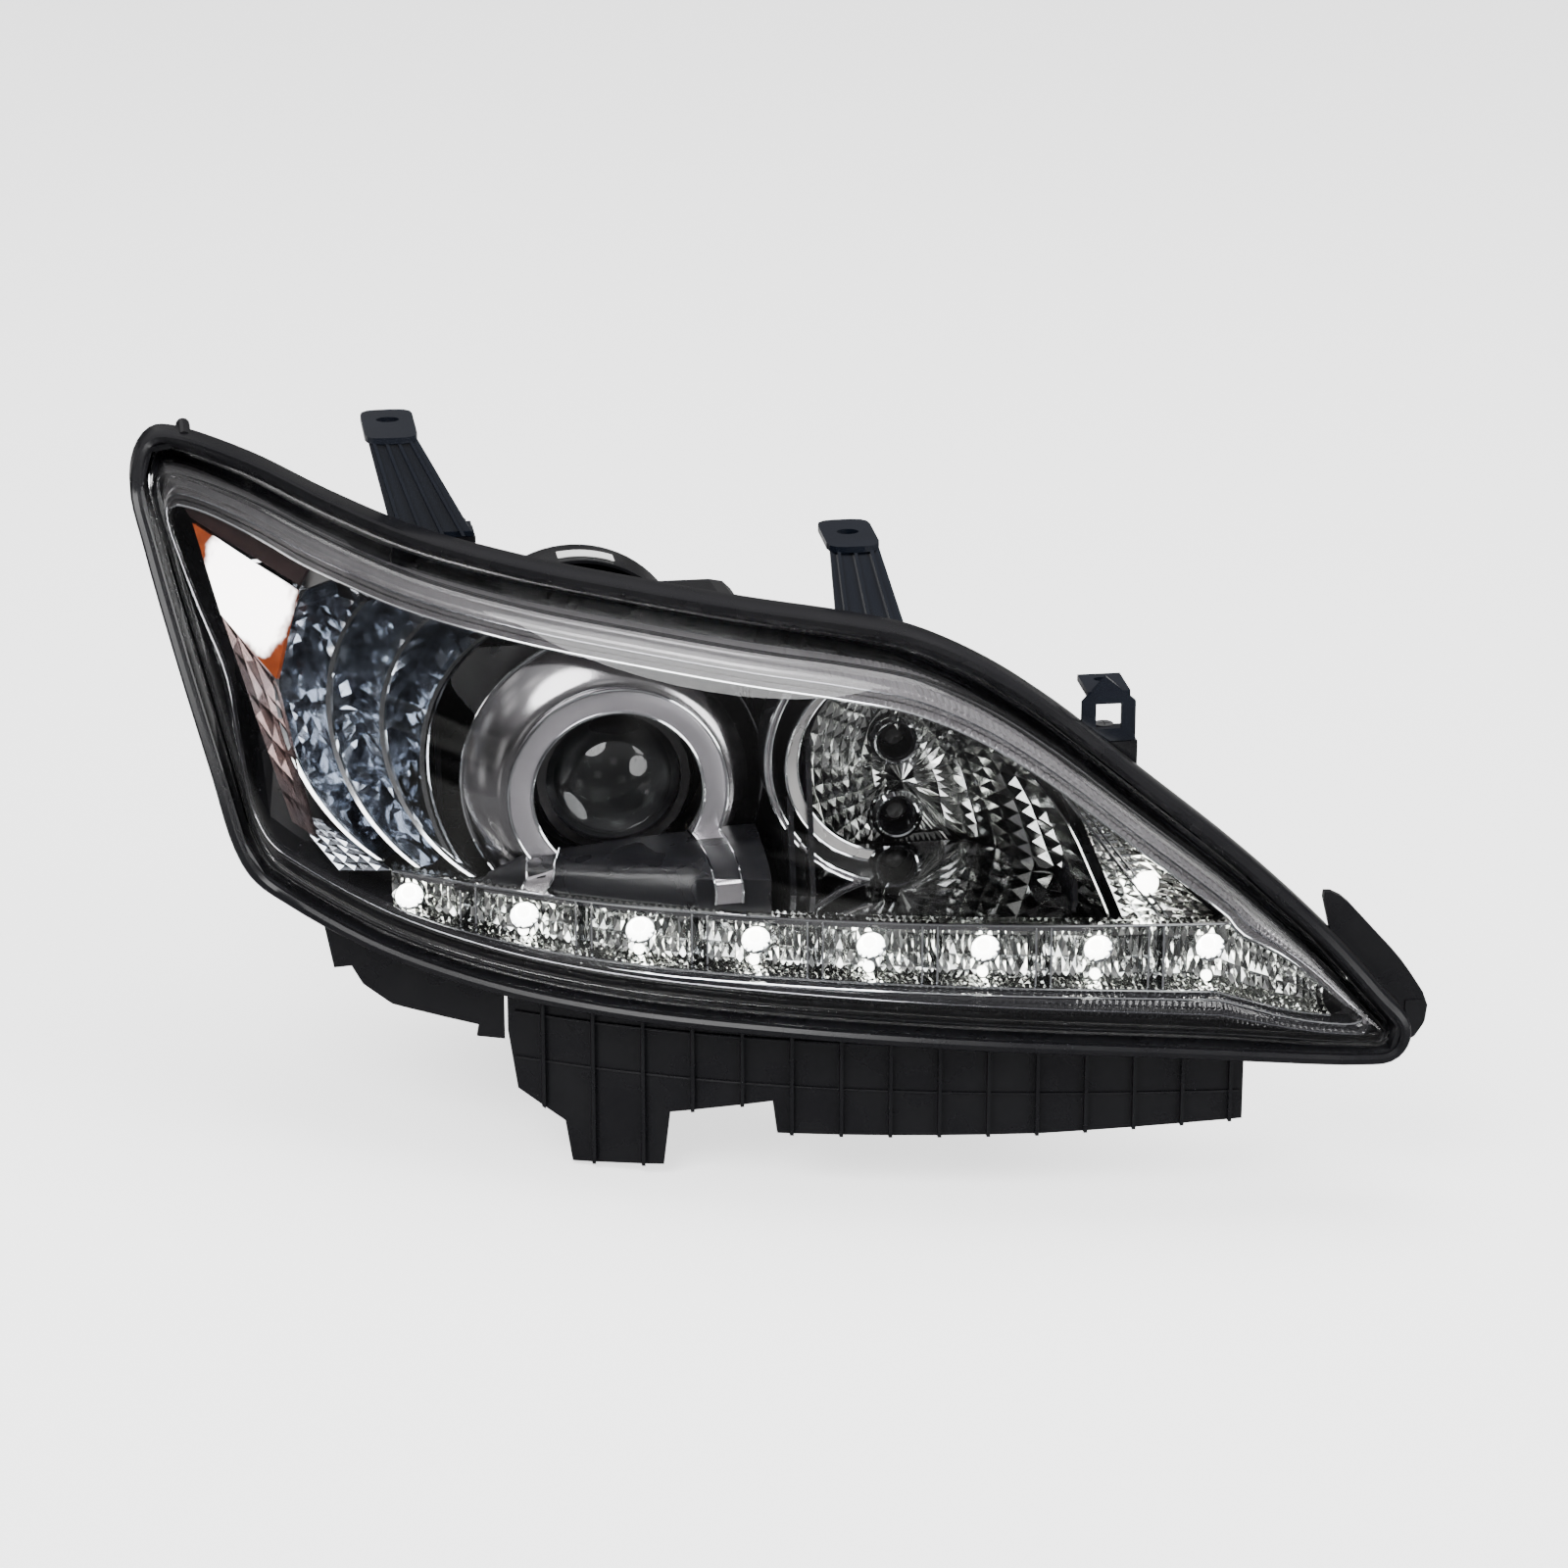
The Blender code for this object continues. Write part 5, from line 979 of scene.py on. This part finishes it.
def side_fins():
    """Crescent fins with bright edges; their flanks are broken into small facets."""
    chance = random.Random(11)
    scatter_x, scatter_y, scatter_z = FIN_SCATTER
    arcs = [fin_arc(*arc) for arc in FIN_ARCS]
    rows = [arcs[0]]
    for near, far in zip(arcs, arcs[1:]):
        for step in range(1, FIN_ROWS + 1):
            row = [p.lerp(q, step / FIN_ROWS) for p, q in zip(near, far)]
            if step < FIN_ROWS:
                for point in row:
                    point.y += chance.uniform(-scatter_y, scatter_y)
                    point.x += chance.uniform(-scatter_x, scatter_x)
                    point.z += chance.uniform(-scatter_z, scatter_z)
            rows.append(row)
    fins = sheet("side_fins", rows, FIN_SKIN, 1, closed_loop=False, even=False)
    bright(fins, FIN_CHROME, FACETED, ("side_steps",))
    for number, arc in enumerate(arcs[0:7:2], 1):
        edge = [arc, *([point + offset for point in arc] for offset in FIN_EDGE)]
        bright(sheet("fin_edge_%d" % number, edge, SKIN, 1, closed_loop=False, even=False), CHROME)


# ---------------------------------------------------------------- bulb chamber
def even_loop(points, count):
    """Closed loop of points spaced evenly along the given one."""
    lengths = [0.0]
    for i, point in enumerate(points):
        lengths.append(lengths[-1] + (points[(i + 1) % len(points)] - point).length)
    result = []
    i = 0
    for k in range(count):
        at = lengths[-1] * k / count
        while lengths[i + 1] < at:
            i += 1
        share = (at - lengths[i]) / (lengths[i + 1] - lengths[i])
        result.append(points[i].lerp(points[(i + 1) % len(points)], share))
    return result


def mosaic(name, rows, rise, thickness, side, closed_loop=True, closed_centre=False, holes=(),
           floor_z=-1.0):
    """Sheet whose cells are low four-sided pyramids, cut off at floor_z, with bulb holes in it."""
    bm = bmesh.new()
    verts = [[bm.verts.new(point) for point in row] for row in rows]
    count = len(verts[0])
    last = count if closed_loop else count - 1
    for row, following in zip(verts, verts[1:]):
        for i in range(last):
            j = (i + 1) % count
            corners = (row[i], following[i], following[j], row[j])
            centre = sum((vert.co for vert in corners), Vector()) / 4.0
            across = (corners[2].co - corners[0].co).cross(corners[3].co - corners[1].co)
            size = math.sqrt(across.length)
            if across.length > 0.0:
                centre += across.normalized() * rise * size
            peak = bm.verts.new(centre)
            for a, b in zip(corners, corners[1:] + corners[:1]):
                bm.faces.new((a, b, peak))
    if closed_centre:
        hub = bm.verts.new(sum((vert.co for vert in verts[-1]), Vector()) / count)
        for i in range(count):
            bm.faces.new((verts[-1][(i + 1) % count], verts[-1][i], hub))
    low = [face for face in bm.faces if face.calc_center_median().z < floor_z]
    bmesh.ops.delete(bm, geom=low, context="FACES")
    for axis in holes:
        inside = []
        for face in bm.faces:
            centre = face.calc_center_median()
            if (Vector((centre.x, centre.z)) - Vector(axis)).length < BULB_HOLE_R:
                inside.append(face)
        bmesh.ops.delete(bm, geom=inside, context="FACES")
    thing = make(name, bm, recalc=False)
    solid = thing.modifiers.new("Solidify", "SOLIDIFY")
    solid.thickness = thickness
    solid.offset = side
    solid.use_even_offset = False
    apply_modifiers(thing)
    return thing


def chamber_bowl():
    """Faceted bowl of the high beam and turn signal, standing on the shelf."""
    chance = random.Random(5)
    outline = even_loop([Vector(point) for point in rounded(CHAMBER, CHAMBER_ROUND, 5)], CHAMBER_COLUMNS)
    start, width = CHAMBER_BLEND
    front = []
    for p in outline:
        share = min(max((p.x - start) / width, 0.0), 1.0)
        y = CHAMBER_LEFT_Y * (1.0 - share) + (face_y(p.x, p.y) + CHAMBER_BEHIND) * share
        front.append(Vector((p.x, y, p.y)))
    rows = [front]
    for share_x, share_z, y in CHAMBER_ROWS:
        row = []
        for point in front:
            x = CHAMBER_CENTRE.x + (point.x - CHAMBER_CENTRE.x) * share_x
            z = CHAMBER_CENTRE.y + (point.z - CHAMBER_CENTRE.y) * share_z
            depth = max(y, point.y + (1.0 - share_x) * CHAMBER_SLOPE)
            row.append(Vector((x + chance.uniform(-CHAMBER_SCATTER, CHAMBER_SCATTER), depth,
                               z + chance.uniform(-CHAMBER_SCATTER, CHAMBER_SCATTER))))
        rows.append(row)
    bowl = mosaic("chamber_bowl", rows, CHAMBER_RISE, SKIN, -1, closed_centre=True,
                  holes=BULB_AXES, floor_z=SHELF_Z)
    bright(bowl, MOSAIC, FACETED, ("bulb_chamber",))
    for number, axis in enumerate(BULB_AXES, 1):
        collar = turned("bulb_collar_%d" % number, COLLAR_PROFILE, axis, COLLAR_STEPS)
        bright(cut(collar, below_shelf()), CHROME)
        throat = turned("bulb_throat_%d" % number, THROAT_PROFILE, axis, COLLAR_STEPS)
        place(cut(throat, below_shelf()), HOUSING, "lamp_body")


def crescent(centre_x, centre_z, radius, y):
    """Arc beside the chamber, from its lower end inside the chamber up to the bezel."""
    low = math.degrees(math.asin(max((SHELF_Z + 0.0006 - centre_z) / radius, -STEEPEST)))
    high = math.degrees(math.asin(min((CRESCENT_TOP - centre_z) / radius, STEEPEST)))
    return arc_points((centre_x, centre_z), radius, y, 180.0 - low, 180.0 - high, CRESCENT_POINTS)


def chamber_crescents():
    """Bright and dark crescents between the projector and the chamber."""
    outer, line, gap, inner, end = (crescent(*arc) for arc in CRESCENT_ARCS)
    wall = [point + CRESCENT_WALL for point in outer]
    for name, rows, material in (("crescent_wall", (wall, outer), GLOSS),
                                 ("crescent_line", (outer, line), SATIN_LINE_AND_RING_REFLECTION),
                                 ("crescent_hollow", (line, gap), GLOSS),
                                 ("crescent_flank", (gap, inner), DARK_CHROME),
                                 ("crescent_band", (inner, end), PALE)):
        bright(sheet(name, rows, SKIN, 1, closed_loop=False, even=False), material)
    forward = Vector((0.0, -LINE_R, 0.0))
    for number, row in enumerate((outer, line, inner, end), 1):
        bright_line("crescent_edge_%d" % number, [point + forward for point in row])


# ---------------------------------------------------------------- step of the shelf
def step_height(x):
    for (x_low, z_low), (x_high, z_high) in zip(STEP_LINE, STEP_LINE[1:]):
        if x <= x_high:
            return z_low + (z_high - z_low) * (x - x_low) / (x_high - x_low)
    return STEP_LINE[-1][1]


def step_front(x):
    return face_y(x, SHELF_Z) + STEP_BEHIND


def step_point(x, reach, drop):
    """Point of the step's upper face, a share of the way forward and a drop below its rear edge."""
    return Vector((x, STEP_REAR_Y + (step_front(x) - STEP_REAR_Y) * reach, step_height(x) - drop))


def ring_reflection_point(side, radius, share):
    """Point of the painted reflection, where the ring's mirror image lies on the step, a share of the
    way down the view.
    """
    cusp = step_height(side * radius * RING_REFLECTION_CUSP)
    seen = RING_REFLECTION_DROP * share
    x = side * math.sqrt(radius ** 2 - (cusp + seen) ** 2)
    across = RING_REFLECTION_RISE * (STEP_REAR_Y - step_front(x))
    reach = min(seen / across, 1.0)
    drop = max(seen - across, 0.0)
    for (near, low), (far, high) in zip(STEP_ROUND, STEP_ROUND[1:]):
        if near <= reach <= far:
            drop += low + (high - low) * (reach - near) / (far - near)
            break
    point = step_point(x, reach, drop)
    forward, upward = RING_REFLECTION_PROUD
    return Vector((x, point.y - forward * reach, max(point.z + upward * (1.0 - reach), STRIP_TOP)))


def shelf_step():
    """Dark step that the projector's ring stands behind, with bright sheets in its front that paint the
    ring's reflection.
    """
    first, last = STEP_LINE[0][0], STEP_LINE[-1][0]
    stations = [first + (last - first) * k / STEP_COLUMNS for k in range(STEP_COLUMNS + 1)]
    foot = SHELF_Z + 0.0001
    rows = [[Vector((x, STEP_REAR_Y, foot)) for x in stations]]
    rows += [[step_point(x, reach, drop) for x in stations] for reach, drop in STEP_ROUND]
    rows.append([Vector((x, step_front(x), foot)) for x in stations])
    step = sheet("shelf_step", rows, STEP_SKIN, 1, closed_loop=False, even=False)
    place(step, HOUSING, "lamp_body", smooth=STEP_SHARP)
    # Painted reflection: bright satin sheets and lines where the ring's mirror image lies
    for name, side in (("painted_ring_reflection_outboard", -1), ("painted_ring_reflection_inboard", 1)):
        inner, outer = ([ring_reflection_point(side, radius, k / RING_REFLECTION_ROWS) for k in range(RING_REFLECTION_ROWS + 1)]
                        for radius in (RING_INNER, RING_OUTER))
        bright(sheet(name, (inner, outer), RING_REFLECTION_SKIN, side, closed_loop=False, even=False), SATIN_LINE_AND_RING_REFLECTION)
        bright_line(name + "_inner", inner, RING_REFLECTION_LINE_R)
        bright_line(name + "_outer", outer, RING_REFLECTION_LINE_R)


# ---------------------------------------------------------------- LED strip and tip
def window_limits(x):
    """Lower and upper edge of the trim window at x."""
    heights = []
    for p, q in zip(WINDOW, WINDOW[1:] + WINDOW[:1]):
        if min(p.x, q.x) <= x < max(p.x, q.x):
            heights.append(p.z + (q.z - p.z) * (x - p.x) / (q.x - p.x))
    return min(heights), max(heights)


def strip_limits(x):
    low, high = window_limits(x)
    low += STRIP_MARGIN
    return low, max(min(STRIP_TOP, high - STRIP_MARGIN), low + STRIP_MARGIN)


def strip_point(x, share, behind):
    """Point of the strip: share 0 is its lower edge, share 1 its upper one."""
    low, high = strip_limits(x)
    return Vector((x, face_y(x, STRIP_FACE_Z) + behind, low + (high - low) * share))


def strip_trough():
    """Faceted bright trough with a line along each edge."""
    chance = random.Random(3)
    stations = [STRIP_START + (STRIP_END - STRIP_START) * k / STRIP_COLUMNS
                for k in range(STRIP_COLUMNS + 1)]
    rows = [[strip_point(x, share, behind) for x in stations] for share, behind in STRIP_PATH]
    for row in rows[1:-1]:
        for point in row:
            point.y += chance.uniform(*STRIP_SCATTER)
    trough = mosaic("led_trough_facets", rows, -0.14, STRIP_SKIN, -1, closed_loop=False)
    bright(trough, MOSAIC, FACETED, ("led_trough",))
    for edge, share in (("upper", 1.0), ("lower", 0.0)):
        bright_line("strip_line_" + edge,
                    [strip_point(x, share, STRIP_FRONT - 0.0004) for x in stations])


def strip_dividers():
    """Pairs of thin walls between the lights of the strip."""
    walls = []
    for k in range(LED_COUNT - 1):
        for offset in (-DIVIDER_OFFSET, DIVIDER_OFFSET):
            x = LED_FIRST_X + LED_PITCH * (k + 0.5) + offset
            corners = [strip_point(x, share, behind) for share, behind in DIVIDER_CORNERS]
            walls.append(loft("wall", corners, [corner + DIVIDER_WALL for corner in corners]))
    bright(join("strip_dividers", walls), CHROME)


def seated(name, profile, y, centre, steps):
    """Turned solid whose profile is given from its seat at depth y."""
    return turned(name, [(radius, y + behind) for radius, behind in profile], centre, steps)


def strip_lights():
    """Lit emitters in small bowls, each with a small glowing dome below it: a painted reflection of that
    LED.
    """
    bowls = []
    emitters = []
    for k in range(LED_COUNT):
        x = LED_FIRST_X + LED_PITCH * k
        back = face_y(x, STRIP_FACE_Z) + STRIP_BACK
        bowls.append(seated("bowl", BOWL_PROFILE, back, (x, LED_Z), 14))
        emitters.append(seated("emitter", LED_PROFILE, back, (x, LED_Z), 20))
        # Painted reflection of the LED: a small glowing dome near the strip's lower edge
        z = strip_limits(x)[0] + PAINTED_LED_REFLECTION_RISE
        emitters.append(seated("emitter", PAINTED_LED_REFLECTION_PROFILE, face_y(x, z) + PAINTED_LED_REFLECTION_BEHIND,
                               (x, z), 16))
    bright(join("led_bowls", bowls), CHROME, FACETED)
    place(join("led_emitters_and_painted_reflections", emitters), LED_LIGHT, "lamp_body", ("led_board",))


def panel(name, corners, behind, columns, rows, bulge=0.0, rise=0.0, seed=0, thickness=0.0016):
    """Quadrilateral panel that follows the lens face; bulge swells its middle forward, and rise
    breaks it into facets."""
    chance = random.Random(seed)
    a, b, c, d = (Vector(corner) for corner in corners)
    grid = []
    for j in range(rows + 1):
        row = []
        for i in range(columns + 1):
            u, v = i / columns, j / rows
            if rise and 0 < i < columns:
                u += chance.uniform(-FACET_SCATTER, FACET_SCATTER) / columns
            if rise and 0 < j < rows:
                v += chance.uniform(-FACET_SCATTER, FACET_SCATTER) / rows
            flat = a.lerp(b, u).lerp(d.lerp(c, u), v)
            swell = bulge * 16.0 * u * (1.0 - u) * v * (1.0 - v)
            row.append(Vector((flat.x, face_y(flat.x, flat.y) + behind - swell, flat.y)))
        grid.append(row)
    if rise:
        return mosaic(name, grid, rise, thickness, -1, closed_loop=False)
    return sheet(name, grid, thickness, -1, closed_loop=False, even=False)


def tip_panel():
    """Faceted panel between the chamber and the tip, its ribbed bar and its single LED."""
    facets = panel("tip_facets", TIP_PANEL, behind=TIP_BEHIND, columns=6, rows=16, rise=-0.2, seed=8)
    bright(facets, MOSAIC, FACETED, ("tip_trim",))
    start, end = TIP_BAR
    bars = []
    for offset, radius in TIP_BAR_LINES:
        points = []
        for k in range(TIP_BAR_POINTS):
            flat = start.lerp(end, k / (TIP_BAR_POINTS - 1)) + Vector((offset, 0.0))
            points.append(Vector((flat.x, face_y(flat.x, flat.y) + TIP_BAR_BEHIND, flat.y)))
        bars.append(wire("bar", points, radius))
    length, deep, half = TIP_TOOTH
    first, pitch = TIP_TOOTH_SHARES
    for k in range(TIP_TEETH):
        flat = start.lerp(end, first + pitch * k)
        y = face_y(flat.x, flat.y) + TIP_BAR_BEHIND + 0.0002
        bars.append(block("tooth", (flat.x, y, flat.y - half),
                          (flat.x + length + half * k, y + deep, flat.y + half)))
    bright(join("tip_bar", bars), CHROME)
    emissive = seated("tip_emitter", TIP_LED_PROFILE, face_y(*TIP_LED) + TIP_BEHIND, TIP_LED, 24)
    place(emissive, LED_LIGHT, "lamp_body", ("tip_led",))


# ---------------------------------------------------------------- side reflector and apron
def side_reflector():
    """Amber reflector, the dark strip above it and the tinted facets below it."""
    plate = panel("amber_plate", AMBER, behind=0.0140, columns=14, rows=14, bulge=0.0012,
                  thickness=0.0026)
    place(plate, AMBER_PLATE_PAINTED_HIGHLIGHT, "lamp_body", ("side_reflector",))
    strip = panel("amber_top_strip", AMBER_TOP, behind=0.0150, columns=12, rows=3,
                  thickness=0.0020)
    place(strip, BROWN, "lamp_body")
    facets = panel("tinted_facets", FACETS, behind=0.0180, columns=3, rows=6, rise=-0.16, seed=4)
    bright(facets, TINTED, FACETED, ("marker_trim",))
    corner = panel("corner_facets", CORNER_FACETS, behind=0.0210, columns=4, rows=6, rise=-0.2,
                   seed=6)
    bright(corner, FIN_CHROME, FACETED)


def apron_ribs():
    """Raised lines that cross the apron under the lamp."""
    ribs = []
    for z, x_low, x_high in APRON_LINES:
        points = []
        for k in range(APRON_POINTS):
            x = x_low + (x_high - x_low) * k / (APRON_POINTS - 1)
            points.append(Vector((x, face_y(x, z) + APRON_BEHIND, z)))
        ribs.append(wire("rib", points, APRON_LINE_R))
    place(join("apron_cross_ribs", ribs), HOUSING, "lamp_body")


# ---------------------------------------------------------------- rear cap
def rear_cap():
    """Turned cap behind the low beam: rounded rim, raised ring, grip bar and finger ribs."""
    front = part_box("low_beam_cap")[0].y - ORIGIN.y
    inside = CAP_BACK - CAP_WALL
    cap = turned("rear_cap", (
        (0.0, CAP_BACK), (0.0400, CAP_BACK), (0.0408, CAP_BACK + CAP_STEP),
        (0.0440, CAP_BACK + CAP_STEP), (0.0448, CAP_BACK), (0.0525, CAP_BACK),
        (0.0541, CAP_BACK - 0.0005), (0.0551, CAP_BACK - 0.0016), (CAP_R, CAP_BACK - 0.0032),
        (CAP_R, front), (0.0540, front), (0.0540, inside - 0.0010), (0.0455, inside - 0.0010),
        (0.0455, front), (0.0430, front), (0.0430, CAP_SKIRT_Y), (0.0395, CAP_SKIRT_Y),
        (0.0395, inside), (0.0, inside)))
    grip = prism("grip", rounded(CAP_GRIP, CAP_GRIP_ROUND), CAP_BACK - CAP_GRIP_SUNK,
                 CAP_BACK + CAP_GRIP_HIGH)
    fuse(cap, bevelled(grip, CAP_GRIP_BEVEL))
    place(cap, HOUSING, "low_beam_cap", ("low_beam_cap",))
    ribs = []
    for k in range(CAP_RIBS):
        angle = math.radians(CAP_RIB_START + (540.0 - 2.0 * CAP_RIB_START) * k / (CAP_RIBS - 1))
        x, z = CAP_RIB_PITCH_R * math.cos(angle), CAP_RIB_PITCH_R * math.sin(angle)
        ribs.append(wire("rib", [Vector((x, front + 0.0030, z)), Vector((x, CAP_BACK - 0.0050, z))],
                         CAP_RIB_R))
    place(join("cap_finger_ribs", ribs), HOUSING, "low_beam_cap")


# ---------------------------------------------------------------- carried-over CAD nodes
SLOT_FINISH = {
    "housing_plastic": HOUSING, "bracket_plastic": BRACKET, "clear_lens": CLEAR,
    "bright_trim": CHROME, "smoked_trim": SMOKED, "gloss_black": GLOSS,
    "amber_plastic": AMBER_GLASS, "lamp_glass": GLASS, "rubber": RUBBER, "steel": STEEL,
    "nylon": NYLON, "aluminium": ALUMINIUM, "circuit_board": BOARD, "label": LABEL,
}
NODE_FINISH = {
    "lower_shelf": SHELF, "cutoff_shield": DARK_METAL, "projector_bowl": DARK_METAL,
    "lens_holder": DARK_METAL, "high_beam_bulb": BULB_GLASS_PAINTED_SHADE, "turn_signal_bulb": BULB_GLASS_PAINTED_SHADE,
}


def dress_nodes():
    """Procedural material for every CAD node that stays visible."""
    for row in frame["record"]["subparts"]:
        thing = frame["nodes"][row["node"]]
        thing.data.materials.clear()
        finish = NODE_FINISH.get(row["node"]) or SLOT_FINISH[row["material_slot"]]
        thing.data.materials.append(finish)


def main():
    for step in (set_camera, set_floor, set_world, set_lights, dress_nodes, lens_cover, lip_cover,
                 frame_bezel, projector_front, side_fins, chamber_bowl, chamber_crescents,
                 shelf_step, strip_trough, strip_dividers, strip_lights, tip_panel,
                 side_reflector, apron_ribs, rear_cap):
        step()


main()
